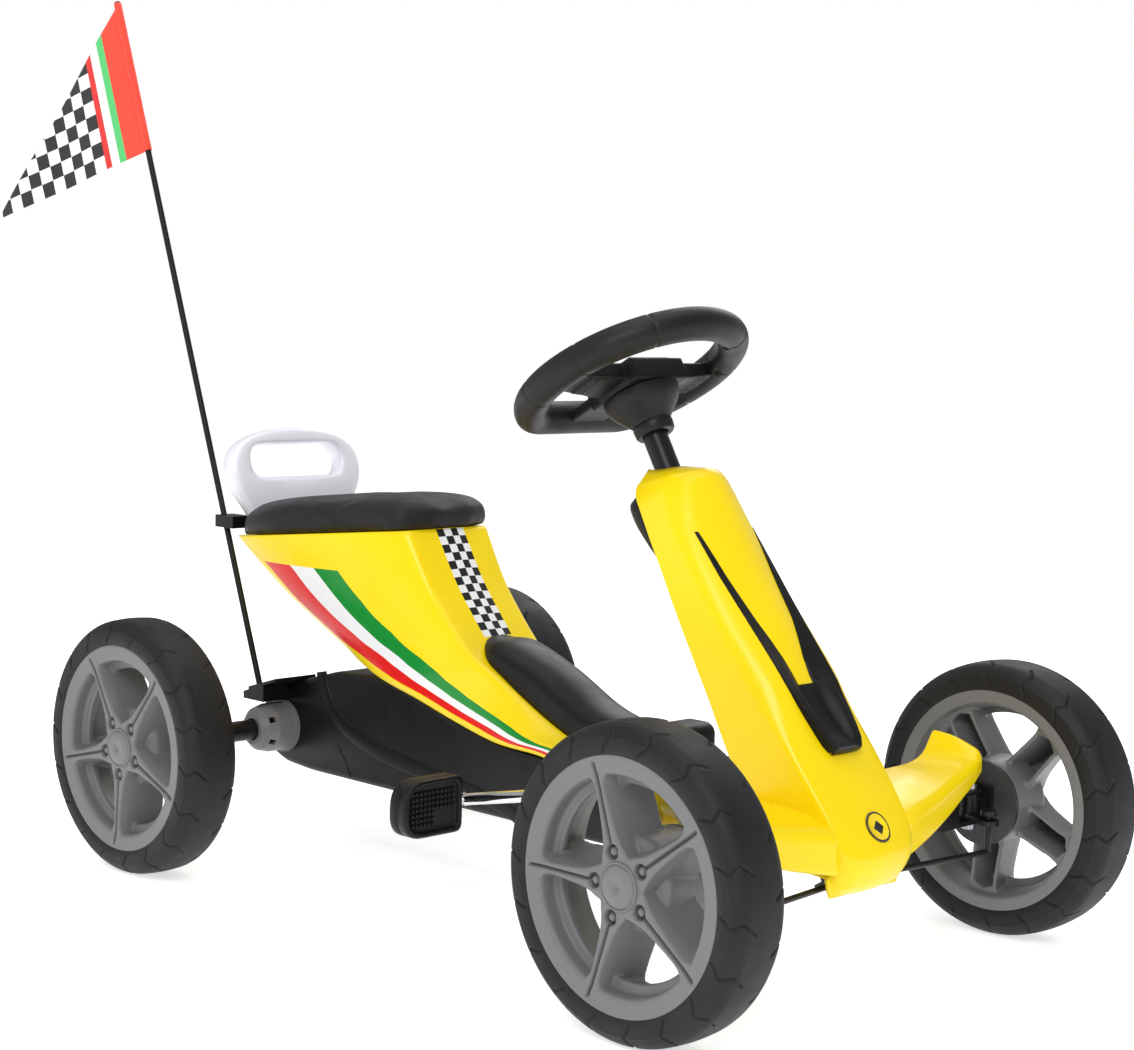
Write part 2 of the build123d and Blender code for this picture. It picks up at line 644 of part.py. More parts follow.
def fairing_insert():
    """Raised black fork: two thin blades that join in a scoop low on the shield."""
    slope = Vector(705 - 523, 0, 112 - 397).normalized()
    normal = Vector(-slope.Z, 0, slope.X)
    origin = Vector(523, 0, 397) + normal * 0.2
    plane = Plane(origin=origin, x_dir=(0, 1, 0), z_dir=normal)
    down = 1 if plane.to_local_coords(origin + slope * 10).Y > 0 else -1

    def prism(outline, height):
        points = [(y, down * s) for y, s in outline]
        return extrude(plane * Polygon(*points, align=None), height, dir=normal)

    blade = [(21, 30), (24, 30), (19, 175), (6, 200), (11, 150)]
    shape = prism(blade, 4) + prism([(-y, s) for y, s in blade], 4)
    shape += prism([(-19, 165), (-10, 160), (10, 160), (19, 165), (17, 222), (11, 246), (-11, 246),
                    (-17, 222)], 8)
    return shape


def column_cover():
    """Black channel that closes the shield's back behind the steering post."""
    def loop(z, rear, reach, half):
        return [(rear - 0.4, half, z), (rear - reach * 0.7, half * 0.8, z), (rear - reach, half * 0.35, z),
                (rear - reach, -half * 0.35, z), (rear - reach * 0.7, -half * 0.8, z),
                (rear - 0.4, -half, z)]

    rings = [(376, 466, 24, 40), (340, 489, 25, 44), (301, 513, 25, 46), (222, 560, 25, 46),
             (196, 574, 22, 44)]
    outer = lofted([loop(*ring) for ring in rings])
    inner = lofted([loop(z, rear, reach - 3, half - 3) for z, rear, reach, half in rings])
    return outer - inner


WING_STATIONS = [
    # distance from the middle, front face, lower edge, top, rear edge
    (57, 692, 100, 165, 604),
    (93, 681, 107, 178, 606),
    (109, 676, 114, 193, 608),
    (182, 667, 146, 167, 612),
]


def front_wing():
    """Left wing: a front face and a top skin that rise to an ear beside the tyre."""
    skin = 3
    sections = [
        [(front - skin, y, low), (front, y, low), (front, y, top), (rear, y, top),
         (rear, y, top - skin), (front - skin, y, top - skin)]
        for y, front, low, top, rear in WING_STATIONS
    ]
    shape = lofted(sections)
    y, front, low, top, rear = WING_STATIONS[0]
    over_beam = [(front - 22, 136), (front - 22, low)]
    root = [(front, low), (front, top), (rear, top), (rear, top - 22), *over_beam]
    shape += side_plate(root, (y, y + skin))
    y, front, low, top, rear = WING_STATIONS[-1]
    tip = [(front, low), (front, top), (rear, top), (rear, top - 22)]
    return shape + side_plate(tip, (y, y + skin))


def bearing_cover():
    """Left dome over the rear axle's bearing, with a flange and slots round it."""
    dome = turned([
        (REAR_TUBE_R + 1, 95), (15, 95), (21, 89), (24, 78), (24, 59), (26, 59), (26, 55.2),
        (20.5, 55.2), (20.5, 78), (17.5, 86), (13, 91), (REAR_TUBE_R + 1, 91),
    ])
    for k in range(6):
        slot = Pos(0, 84, 23) * Box(6, 7, 12)
        dome -= Rot(0, 60 * k, 0) * slot
    return Pos(0, 0, WHEEL_R) * dome


def axle_bearing():
    """Plain bearing inside the left dome."""
    return Pos(0, 0, WHEEL_R) * ring(REAR_TUBE_R + RUNNING, 20.5, (55.6, 76))


def crank_bush():
    """Left bush for the crank in the chain case's side."""
    bush = ring(CRANK_R + RUNNING, 8, (HOUSING_HALF - WALL, HOUSING_HALF))
    bush += ring(CRANK_R + RUNNING, 9.4, (HOUSING_HALF, HOUSING_HALF + 2))
    return Pos(CRANK_X, 0, CRANK_Z) * bush


# ---------------------------------------------------------------- flag

def pole_point(z):
    return POLE_FOOT + (POLE_TOP - POLE_FOOT) * ((z - POLE_FOOT.Z) / (POLE_TOP.Z - POLE_FOOT.Z))


def flag():
    """Triangular pennant sewn into a sleeve round the pole."""
    low, high = pole_point(FLAG_LOW.Z), POLE_TOP
    along = (high - low).normalized()
    sleeve = rod(low, high - along * 1, POLE_R + 1.2, POLE_R + 0.05)
    normal = along.cross(FLAG_TIP - low).normalized()
    out = normal.cross(along).normalized()
    if out.dot(FLAG_TIP - low) < 0:
        out = out * -1
    start = out * (POLE_R + 0.6)
    face = Face(Wire.make_polygon([low + start, high + start - along * 6, FLAG_TIP], close=True))
    return sleeve + extrude(face, 0.8, dir=normal)


def flag_clamp():
    """Block beside the chain case that holds the pole's foot, with a strap over the roof."""
    body = side_plate([(-26, 147), (6, 147), (6, 163.8), (-26, 154.1)], (-86, -HOUSING_HALF))
    body += side_plate([(-18, 156.5), (25, 169.5), (25, 172.5), (-18, 159.5)], (-86, -36))
    return body - rod(pole_point(140), pole_point(190), POLE_R + 0.05)


def flag_clip():
    """Clip on the backrest's side that steadies the pole."""
    spot = pole_point(320)
    body = block((spot.X - 7, spot.X + 22), (-82, -60), (313, 325))
    return body - rod(pole_point(300), pole_point(340), POLE_R + 0.05)


# ---------------------------------------------------------------- writing the sub-parts

def main():
    os.makedirs("parts", exist_ok=True)
    wheels()
    drive()
    save("crank", crank())
    save("pedal_right", pedal(-1))
    save("pedal_left", pedal(1))

    save("frame", frame())
    save("front_axle_beam", front_axle_beam())
    save("kingpin_bolts", kingpin(-1), kingpin(1))
    for side, turn in (("left", lambda s: s), ("right", mirrored)):
        save(f"knuckle_{side}", turn(knuckle()))
        save(f"tie_rod_{side}", turn(tie_rod()))
        save(f"bearing_cover_{side}", turn(bearing_cover()))
        save(f"front_wing_{side}", turn(front_wing()))
    for side, y in (("left", FRONT_Y), ("right", -FRONT_Y)):
        save(f"axle_nut_{side}", place_wheel(axle_nut(), WHEELBASE, y))
    save("axle_bearings", mirrored(axle_bearing()), axle_bearing())
    save("nylon_bushes", *column_bushes(), mirrored(crank_bush()), crank_bush())

    save("steering_column", steering_column())
    save("steering_rim", steering_rim())
    save("steering_hub", steering_hub())
    save("steering_bowl", steering_bowl())

    right, left = housing()
    save("housing_right", right)
    save("housing_left", left)
    save("housing_screws", *housing_screws())
    save("seat_shell", seat_shell())
    save("seat_pad", seat_pad())
    save("grab_handle", grab_handle())
    save("spine_cover", spine_cover())
    save("fairing", fairing())
    save("fairing_insert", fairing_insert())
    save("column_cover", column_cover())

    save("flag_pole", rod(POLE_FOOT, POLE_TOP, POLE_R))
    save("flag", flag())
    save("flag_brackets", flag_clamp(), flag_clip())


main()
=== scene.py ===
"""Looks of a child's pedal go kart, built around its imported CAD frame.

Points are written in millimetres with x measured forward from the rear axle, as in the CAD source,
and turned into the row frame's metres by place().
"""
import json
import math

import bmesh
import bpy
import numpy as np
from mathutils import Matrix, Vector


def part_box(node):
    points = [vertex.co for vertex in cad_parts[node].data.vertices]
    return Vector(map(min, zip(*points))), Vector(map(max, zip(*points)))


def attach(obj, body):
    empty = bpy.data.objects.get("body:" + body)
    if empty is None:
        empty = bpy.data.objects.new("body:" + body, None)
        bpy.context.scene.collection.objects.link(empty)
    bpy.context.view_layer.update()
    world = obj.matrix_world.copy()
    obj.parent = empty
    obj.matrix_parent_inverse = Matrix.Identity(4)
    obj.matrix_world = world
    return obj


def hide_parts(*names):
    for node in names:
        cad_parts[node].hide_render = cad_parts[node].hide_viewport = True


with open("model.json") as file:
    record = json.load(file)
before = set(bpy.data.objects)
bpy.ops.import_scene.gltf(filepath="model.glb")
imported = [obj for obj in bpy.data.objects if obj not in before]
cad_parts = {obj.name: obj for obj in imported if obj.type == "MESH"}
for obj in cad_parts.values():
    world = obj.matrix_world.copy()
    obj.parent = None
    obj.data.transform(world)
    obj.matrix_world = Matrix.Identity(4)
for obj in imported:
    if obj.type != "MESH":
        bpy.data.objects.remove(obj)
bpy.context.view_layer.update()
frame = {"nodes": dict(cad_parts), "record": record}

axle_low, axle_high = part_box("rear_axle")
AXLE_X = (axle_low.x + axle_high.x) / 2
NODES = frame["nodes"]
# Wall thicknesses of the moulded skins, in metres.
SHELL_THICK, COVER_THICK, FAIRING_THICK, CLOTH_THICK = 0.0026, 0.0028, 0.003, 0.0006


# ---------------------------------------------------------------- points and meshes
def place(point):
    """A point in millimetres from the rear axle, in the row frame's metres."""
    x, y, z = point
    return Vector((x / 1000 + AXLE_X, y / 1000, z / 1000))


def mesh_object(name, points, faces, smooth=True, local=False):
    """A mesh from points in millimetres; local keeps them about the object's own origin."""
    mesh = bpy.data.meshes.new(name)
    made = [Vector(p) / 1000 for p in points] if local else [place(p) for p in points]
    mesh.from_pydata(made, [], faces)
    mesh.validate()
    if smooth:
        mesh.shade_smooth()
    obj = bpy.data.objects.new(name, mesh)
    bpy.context.scene.collection.objects.link(obj)
    face_outwards(mesh)
    return obj


def face_outwards(mesh):
    """Turns the faces of a closed mesh to look outwards."""
    work = bmesh.new()
    work.from_mesh(mesh)
    bmesh.ops.recalc_face_normals(work, faces=work.faces)
    work.to_mesh(mesh)
    work.free()


def grid_faces(rows, columns, wrap_rows=False, wrap_columns=False, start=0):
    """Quads between the points of a grid stored row by row."""
    faces = []
    for r in range(rows if wrap_rows else rows - 1):
        for c in range(columns if wrap_columns else columns - 1):
            r2, c2 = (r + 1) % rows, (c + 1) % columns
            corners = (r * columns + c, r * columns + c2, r2 * columns + c2, r2 * columns + c)
            faces.append(tuple(start + k for k in corners))
    return faces


def lofted(sections, closed=True, caps=True):
    """Points and faces through rings of the same number of points."""
    columns = len(sections[0])
    points = [p for ring in sections for p in ring]
    faces = grid_faces(len(sections), columns, wrap_columns=closed)
    if caps:
        faces.append(tuple(range(columns))[::-1])
        last = len(points) - columns
        faces.append(tuple(range(last, last + columns)))
    return points, faces


def turned(profile, steps=96):
    """Points and faces of a closed (radius, y) profile turned about the y axis."""
    points = []
    for k in range(steps):
        a = 2 * math.pi * k / steps
        points += [(r * math.cos(a), y, r * math.sin(a)) for r, y in profile]
    return points, grid_faces(steps, len(profile), wrap_rows=True, wrap_columns=True)


def joined(*parts):
    """One list of points and faces from several."""
    points, faces = [], []
    for some_points, some_faces in parts:
        start = len(points)
        points += list(some_points)
        faces += [tuple(start + k for k in face) for face in some_faces]
    return points, faces


def moved(part, matrix):
    """Points and faces of a part after a turn or a shift."""
    points, faces = part
    return [tuple(matrix @ Vector(p)) for p in points], faces


def rounded(corners, radius, steps=4, closed=True):
    """A polygon of 2-D corners with each one rounded; radius is one number or one per corner."""
    made, count = [], len(corners)
    for k, corner in enumerate(corners):
        if not closed and k in (0, count - 1):
            made.append(tuple(corner))
            continue
        size = radius[k] if hasattr(radius, "__len__") else radius
        here = Vector(corner)
        before, after = Vector(corners[k - 1]) - here, Vector(corners[(k + 1) % count]) - here
        reach = min(size, before.length * 0.49, after.length * 0.49)
        start, end = here + before.normalized() * reach, here + after.normalized() * reach
        for n in range(steps + 1):
            t = n / steps
            made.append(tuple(start * (1 - t) ** 2 + here * 2 * t * (1 - t) + end * t * t))
    return made


def smooth_line(points, count):
    """Points spread evenly along a smooth curve through the given ones."""
    p = np.array(points, float)
    p = np.vstack([2 * p[0] - p[1], p, 2 * p[-1] - p[-2]])
    dense = []
    for k in range(1, len(p) - 2):
        for t in np.linspace(0, 1, 24, endpoint=False):
            a = 2 * p[k] + (p[k + 1] - p[k - 1]) * t
            b = (2 * p[k - 1] - 5 * p[k] + 4 * p[k + 1] - p[k + 2]) * t * t
            c = (3 * p[k] - p[k - 1] - 3 * p[k + 1] + p[k + 2]) * t ** 3
            dense.append(0.5 * (a + b + c))
    dense = np.array(dense + [p[-2]])
    run = np.concatenate([[0], np.cumsum(np.linalg.norm(np.diff(dense, axis=0), axis=1))])
    wanted = np.linspace(0, run[-1], count)
    return np.column_stack([np.interp(wanted, run, dense[:, k]) for k in range(p.shape[1])])


def modifier(obj, kind, **settings):
    """Adds a modifier with its settings."""
    made = obj.modifiers.new(kind.title(), kind)
    for key, value in settings.items():
        setattr(made, key, value)
    return made


def applied(obj):
    """Turns the modifiers of a piece into its mesh."""
    graph = bpy.context.evaluated_depsgraph_get()
    mesh = bpy.data.meshes.new_from_object(obj.evaluated_get(graph))
    obj.modifiers.clear()
    obj.data = mesh
    return obj


def float_attribute(obj, name, values):
    """Stores one number per vertex for the piece's material."""
    made = obj.data.attributes.new(name, "FLOAT", "POINT")
    made.data.foreach_set("value", np.asarray(values, np.float32))


def coordinates(obj):
    """The vertices of a piece, in millimetres of its own mesh."""
    found = np.zeros(len(obj.data.vertices) * 3, np.float32)
    obj.data.vertices.foreach_get("co", found)
    return found.reshape(-1, 3).astype(float) * 1000


def set_coordinates(obj, values):
    """Puts a piece's vertices where coordinates() would read them."""
    obj.data.vertices.foreach_set("co", (values / 1000).astype(np.float32).ravel())
    obj.data.update()


def finished(obj, body, stands_for, material=None):
    """Puts a piece on its body, in place of the CAD part of the same thing."""
    if material is not None:
        obj.data.materials.append(material)
    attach(obj, body)
    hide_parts(stands_for)


# ---------------------------------------------------------------- materials
class Nodes:
    """A small hand for writing a node material."""

    def __init__(self, name):
        self.material = bpy.data.materials.new(name)
        self.material.use_nodes = True
        self.tree = self.material.node_tree
        self.shader = self.tree.nodes["Principled BSDF"]
        self.spot = self.add("ShaderNodeTexCoord").outputs["Object"]

    def add(self, kind, **settings):
        """Adds a node with its settings."""
        node = self.tree.nodes.new(kind)
        for key, value in settings.items():
            setattr(node, key, value)
        return node

    def link(self, source, target):
        self.tree.links.new(source, target)

    def feed(self, target, value):
        """Sets an input from another node's output or from a plain value."""
        if isinstance(value, bpy.types.NodeSocket):
            self.link(value, target)
        else:
            target.default_value = value

    def maths(self, operation, *values, clamp=False):
        """Output of one sum over nodes or numbers."""
        node = self.add("ShaderNodeMath", operation=operation, use_clamp=clamp)
        for socket, value in zip(node.inputs, values):
            self.feed(socket, value)
        return node.outputs[0]

    def noise(self, scale, detail=3.0, rough=0.55, vector=None):
        """Output of a noise pattern over the piece."""
        node = self.add("ShaderNodeTexNoise")
        self.link(vector or self.spot, node.inputs["Vector"])
        node.inputs["Scale"].default_value = scale
        node.inputs["Detail"].default_value = detail
        node.inputs["Roughness"].default_value = rough
        return node.outputs["Fac"]

    def range(self, value, low, high, to_low=0.0, to_high=1.0):
        """A value carried from one range to another, held at its ends."""
        node = self.add("ShaderNodeMapRange", clamp=True)
        for socket, item in zip(node.inputs, (value, low, high, to_low, to_high)):
            self.feed(socket, item)
        return node.outputs[0]

    def mix(self, factor, a, b):
        """Colour between a and b."""
        node = self.add("ShaderNodeMix", data_type="RGBA")
        self.feed(node.inputs[0], factor)
        for socket, value in ((node.inputs[6], a), (node.inputs[7], b)):
            self.feed(socket, value)
        return node.outputs[2]

    def attribute(self, name):
        return self.add("ShaderNodeAttribute", attribute_name=name).outputs["Fac"]

    def edges(self, radius):
        """1 along convex edges of the shape, 0 on its flats."""
        bevel = self.add("ShaderNodeBevel", samples=4)
        bevel.inputs["Radius"].default_value = radius
        geometry = self.add("ShaderNodeNewGeometry")
        dot = self.add("ShaderNodeVectorMath", operation="DOT_PRODUCT")
        self.link(bevel.outputs[0], dot.inputs[0])
        self.link(geometry.outputs["Normal"], dot.inputs[1])
        return self.range(dot.outputs["Value"], 0.98, 0.80)

    def bump(self, height, distance, strength=1.0, normal=None):
        """Normal of a surface raised by a height."""
        node = self.add("ShaderNodeBump")
        node.inputs["Strength"].default_value = strength
        node.inputs["Distance"].default_value = distance
        self.link(height, node.inputs["Height"])
        if normal is not None:
            self.link(normal, node.inputs["Normal"])
        return node.outputs[0]


def srgb(r, g, b):
    """A colour as the eye names it, 0 to 255, in the numbers that shaders take."""
    def one(v):
        v /= 255
        return v / 12.92 if v <= 0.04045 else ((v + 0.055) / 1.055) ** 2.4
    return (one(r), one(g), one(b), 1.0)


def scaled(colour, k):
    """A colour made lighter or darker."""
    return tuple(min(1.0, c * k) for c in colour[:3]) + (1.0,)


def finish_surface(n, colour, rough, grain, depth, metallic=0.0, coat=0.0, specular=0.5,
                   wear=None, wear_radius=0.0008, uneven=0.06):
    """Joins a base colour to the small faults that every real surface has."""
    cloud = n.noise(9.0, 4.0)
    tone = n.mix(n.range(cloud, 0.3, 0.7), (1 - uneven, 1 - uneven, 1 - uneven, 1), (1, 1, 1, 1))
    made = n.add("ShaderNodeMix", data_type="RGBA", blend_type="MULTIPLY")
    made.inputs[0].default_value = 1.0
    n.feed(made.inputs[6], colour)
    n.link(tone, made.inputs[7])
    colour = made.outputs[2]
    if wear is not None:
        rubbed = n.maths("MULTIPLY", n.edges(wear_radius), n.range(n.noise(60.0), 0.35, 0.7))
        colour = n.mix(rubbed, colour, wear)
    n.link(colour, n.shader.inputs["Base Color"])
    smudge = n.range(n.noise(38.0, 5.0), 0.3, 0.7, rough * 0.86, rough * 1.16)
    n.link(smudge, n.shader.inputs["Roughness"])
    fine = n.noise(grain, 2.0)
    n.link(n.bump(fine, depth), n.shader.inputs["Normal"])
    n.shader.inputs["Metallic"].default_value = metallic
    n.shader.inputs["Coat Weight"].default_value = coat
    n.shader.inputs["Coat Roughness"].default_value = 0.06
    n.shader.inputs["Specular IOR Level"].default_value = specular
    return n.material


YELLOW = srgb(251, 219, 2)
RED, WHITE, GREEN = srgb(226, 24, 20), srgb(240, 240, 240), srgb(10, 138, 48)
INK = srgb(26, 26, 28)


def yellow_plastic(name="yellow_gloss"):
    """Gloss yellow of the shield, the wings and the shell."""
    n = Nodes(name)
    return finish_surface(n, YELLOW, 0.3, 900.0, 0.00004, coat=0.1, specular=0.28, uneven=0.03)


def black_plastic(name, tone, rough, grain, depth, wear=None):
    """Black or dark grey moulding, rubbed paler at its edges if wear says so."""
    n = Nodes(name)
    return finish_surface(n, srgb(*tone), rough, grain, depth, specular=0.26, wear=wear, uneven=0.12)


M = {
    "yellow_plastic": yellow_plastic(),
    "wheel_plastic": finish_surface(Nodes("wheel_grey"), srgb(112, 113, 115), 0.42, 700.0,
                                    0.00006, wear=srgb(150, 151, 153), uneven=0.08),
    "hub_plate_plastic": black_plastic("hub_plate_grey", (62, 63, 66), 0.45, 800.0, 0.00006,
                                       srgb(96, 97, 100)),
    "nylon": finish_surface(Nodes("nylon_dark"), srgb(44, 44, 46), 0.5, 500.0, 0.00006),
    "black_steel": black_plastic("painted_steel", (24, 24, 26), 0.34, 420.0, 0.00008,
                                 srgb(70, 70, 72)),
    "zinc": finish_surface(Nodes("zinc_plate"), srgb(176, 178, 184), 0.3, 260.0, 0.00008,
                           metallic=1.0, wear=srgb(215, 216, 220), uneven=0.15),
    "chain_steel": finish_surface(Nodes("chain_dark"), srgb(92, 90, 88), 0.36, 300.0, 0.00010,
                                  metallic=1.0, wear=srgb(170, 168, 164), uneven=0.2),
    "chrome": finish_surface(Nodes("bright_chrome"), srgb(222, 224, 228), 0.1, 150.0, 0.00003,
                             metallic=1.0, uneven=0.04),
    "black_plastic": black_plastic("moulded_black", (12, 12, 13), 0.42, 1100.0, 0.00007,
                                   srgb(40, 40, 43)),
    "black_gloss": black_plastic("gloss_black", (16, 16, 18), 0.2, 700.0, 0.00004),
    "silver_paint": finish_surface(Nodes("silver_satin"), srgb(238, 236, 244), 0.36, 1500.0,
                                   0.00003, metallic=0.08, coat=0.15, uneven=0.04),
    "grip_plastic": black_plastic("grip_black", (18, 18, 20), 0.48, 1300.0, 0.00009),
}


def foam_rubber():
    """Charcoal EVA tyre: fine pores, painted shade in the grooves, a little paler where it is rubbed.
    """
    n = Nodes("foam_tyre")
    depth = n.attribute("groove")
    base = n.mix(n.range(n.noise(14.0, 5.0), 0.3, 0.7), srgb(17, 17, 19), srgb(27, 27, 30))
    # Painted shade: the grooves are darkened as if in shadow.
    base = n.mix(depth, base, srgb(13, 13, 14))
    n.link(base, n.shader.inputs["Base Color"])
    n.link(n.range(n.noise(30.0, 4.0), 0.3, 0.7, 0.52, 0.68), n.shader.inputs["Roughness"])
    pores = n.maths("ADD", n.noise(1300.0, 2.0), n.maths("MULTIPLY", n.noise(260.0, 3.0), 0.7))
    n.link(n.bump(pores, 0.00014), n.shader.inputs["Normal"])
    n.shader.inputs["Specular IOR Level"].default_value = 0.34
    return n.material


# ---------------------------------------------------------------- wheels
WHEELS = {"front_right": "wheel_front_right", "front_left": "wheel_front_left",
          "rear_right": "rear_axle", "rear_left": "wheel_rear_left"}
TYRE_R, TYRE_HALF, SHOULDER_R, BEAD_R = 120.0, 28.0, 15.0, 94.0
# Bearing of one spoke in degrees, as each wheel stands.
WHEEL_PHASE = {"front_right": 36, "front_left": 48, "rear_right": 50, "rear_left": 36}
GROOVES = 18
# A groove's corners: along the tread, and in from the bead round the shoulder.
GROOVE_LINE = [(0.0, 9.0), (9.5, 19.5), (4.0, 29.0), (12.5, 39.5)]
GROOVE_DEPTH, GROOVE_HALF, GROOVE_EDGE, GROOVE_COLUMNS = 1.5, 1.25, 1.1, 40
SPOKES = 5
SPOKE_STEP = 360 / SPOKES


def tyre_section():
    """Half section from the bead to the middle of the tread: radius, y and run along it."""
    ends = [(BEAD_R, 22.0), (BEAD_R + 1.0, 25.5), (97.5, 27.2), (101.0, TYRE_HALF - 0.2)]
    wall = [(r, TYRE_HALF) for r in np.arange(102.0, TYRE_R - SHOULDER_R, 1.0)]
    turn = []
    for a in np.linspace(0, math.pi / 2, 23):
        lift = 0.55 * math.exp(-((math.degrees(a) - 20) / 5) ** 2)
        turn.append((TYRE_R - SHOULDER_R - 0.7 + (SHOULDER_R + lift) * math.sin(a),
                     TYRE_HALF - SHOULDER_R + (SHOULDER_R + lift) * math.cos(a)))
    flat = [(TYRE_R - 0.7 * (y / 13.0) ** 2, y) for y in np.arange(12.0, -0.5, -1.1)]
    return ends + wall + turn + flat


def distance_to_line(u, s, line):
    """Distance from points of the unrolled tread to a bent line."""
    best = np.full(u.shape, 1e9)
    for (u0, s0), (u1, s1) in zip(line, line[1:]):
        du, ds = u1 - u0, s1 - s0
        t = np.clip(((u - u0) * du + (s - s0) * ds) / (du * du + ds * ds), 0, 1)
        best = np.minimum(best, np.hypot(u - u0 - t * du, s - s0 - t * ds))
    return best


def tyre_mesh(name):
    """A foam tyre about its own centre, with lightning grooves over both shoulders."""
    half = np.array(tyre_section())
    section = np.vstack([half, (half * [1, -1])[::-1][1:]])
    run = np.concatenate([[0], np.cumsum(np.linalg.norm(np.diff(section, axis=0), axis=1))])
    normal = np.gradient(section, axis=0)
    normal = np.column_stack([normal[:, 1], -normal[:, 0]])
    normal /= np.linalg.norm(normal, axis=1)[:, None]
    outward = section - np.array([(TYRE_R + BEAD_R) / 2, 0.0])
    normal *= np.sign(np.sum(normal * outward, axis=1))[:, None]
    columns = GROOVES * GROOVE_COLUMNS
    angle = 2 * math.pi * np.arange(columns) / columns
    around = (angle * TYRE_R)[:, None]
    period = 2 * math.pi * TYRE_R / GROOVES
    nearest = np.full((columns, len(section)), 1e9)
    for flip, offset in ((False, 0.0), (True, 0.5)):
        s = (run[-1] - run if flip else run)[None, :]
        for shift in (-1, 0, 1):
            u = (around - offset * period) % period + shift * period
            nearest = np.minimum(nearest, distance_to_line(u, s, GROOVE_LINE))
    groove = np.clip(GROOVE_HALF - nearest / GROOVE_EDGE, 0, 1)
    groove = groove * groove * (3 - 2 * groove)
    radius = section[:, 0][None, :] - GROOVE_DEPTH * groove * normal[:, 0][None, :]
    across = section[:, 1][None, :] - GROOVE_DEPTH * groove * normal[:, 1][None, :]
    points = np.stack([radius * np.cos(angle)[:, None], across,
                       radius * np.sin(angle)[:, None]], axis=-1)
    obj = mesh_object(name, points.reshape(-1, 3), grid_faces(columns, len(section), True, True),
                      local=True)
    float_attribute(obj, "groove", groove.ravel())
    return obj


RIM_PROFILE = [(97.8, 24.5), (96.8, 26.2), (95.5, 26.6), (84.5, 25.2), (82.2, 24.2), (81.2, 22.0),
               (80.6, 13.0), (79.6, 11.8), (74.5, 11.2), (73.4, 10.0), (73.2, 5.5), (74.5, 4.4),
               (78.4, 4.0), (79.2, 2.5), (81.0, -12.0), (83.4, -20.0), (84.6, -24.5),
               (86.0, -26.0), (96.5, -26.4), (98.0, -25.0), (98.0, -22.0), (92.6, -20.0),
               (92.6, 20.0), (98.0, 22.0)]
HUB_PROFILE = [(10.0, -37.5), (36.0, -37.5), (37.0, -36.5), (37.0, 4.0), (35.4, 8.0),
               (31.0, 10.5), (24.0, 11.5), (22.0, 12.5), (22.0, 23.9), (10.0, 23.9)]
# A spoke: distance from the middle, half width of its face and of its open back.
ARM = [(10, 12.0, 16.0), (20, 13.2, 17.0), (25, 11.4, 16.5), (30, 9.0, 15.8), (38, 7.0, 15.2),
       (50, 5.7, 14.6), (62, 4.8, 14.0), (70, 4.4, 13.8), (76, 5.0, 14.2), (80, 7.0, 15.6),
       (84, 11.0, 18.0), (90, 15.0, 20.0)]
FACE_Y, ARM_BACK_Y = 24.6, -18.0
ARM_HOLLOW, ARM_WALL = (32, 78), 3.6
LUG_AT, LUG_R, BOLT_R, SLOT_HALF = 25.5, 6.2, 3.8, 1.7
RIM_VOXEL = 0.00115


def arm():
    """One hollow spoke along +x: narrow face, walls that spread towards the back."""
    sections = []
    for r, face, back in ARM:
        front = FACE_Y + 0.6 * max(0.0, (r - ARM_HOLLOW[1]) / 12)
        deep = ARM_BACK_Y if r < 84 else ARM_BACK_Y + 1
        inner = back - ARM_WALL if ARM_HOLLOW[0] <= r <= ARM_HOLLOW[1] else 1.0
        step = front - 4.2 if r > ARM_HOLLOW[0] else front - 14
        outline = [(back, deep), (face + (back - face) * 0.30, front - 9), (face, front - 0.9),
                   (face - 0.9, front), (-face + 0.9, front), (-face, front - 0.9),
                   (-face - (back - face) * 0.30, front - 9), (-back, deep), (-inner, deep),
                   (-max(face - 2.4, 0.8), step), (max(face - 2.4, 0.8), step), (inner, deep)]
        sections.append([(r, y, t) for t, y in outline])
    return lofted(sections)


def rim_mesh(name):
    """A five-spoke rim about its own centre, moulded in one, with its outer face to +y."""
    parts = [turned(RIM_PROFILE, 144), turned(HUB_PROFILE, 96)]
    for k in range(SPOKES):
        parts.append(moved(arm(), Matrix.Rotation(-2 * math.pi * k / SPOKES, 3, "Y")))
    obj = mesh_object(name, *joined(*parts), local=True)
    modifier(obj, "REMESH", mode="VOXEL", voxel_size=RIM_VOXEL, use_smooth_shade=True)
    modifier(obj, "SMOOTH", factor=0.5, iterations=4)
    applied(obj)
    co = coordinates(obj)
    radius = np.hypot(co[:, 0], co[:, 2])
    turn = 2 * math.pi / SPOKES
    bearing = np.arctan2(co[:, 2], co[:, 0])
    off = (bearing + turn / 2) % turn - turn / 2
    along, across = radius * np.cos(off), radius * np.sin(off)
    on_face = np.clip((co[:, 1] - 18) / 2, 0, 1)
    slot = np.clip((SLOT_HALF - np.abs(across)) / 0.9, 0, 1)
    slot *= np.clip((along - 29) / 2, 0, 1) * np.clip((93 - along) / 2, 0, 1)
    lug = np.hypot(along - LUG_AT, across)
    well = np.clip((LUG_R - lug) / 1.2, 0, 1) * np.clip((lug - 2.6) / 1.2, 0, 1)
    bolt = np.clip((BOLT_R - lug) / 1.2, 0, 1)
    co[:, 1] -= on_face * (2.0 * slot + 3.6 * well + 1.2 * bolt)
    set_coordinates(obj, co)
    # Painted shade: the slots and lug wells are darkened as if in shadow.
    dark = np.maximum(slot * 0.9, well) * on_face
    float_attribute(obj, "recess_shade", np.clip(dark, 0, 1))
    return obj


CAP_PROFILE = [(0.01, 27.6), (8.6, 27.4), (14.6, 26.9), (15.6, 26.3), (16.0, 25.3), (16.8, 25.3),
               (17.1, 26.3), (18.0, 26.2), (18.6, 25.3), (18.6, 22.0), (0.01, 22.0)]


def cap_mesh(name):
    """Round centre cap with a groove near its edge."""
    return mesh_object(name, *turned(CAP_PROFILE, 96), local=True)


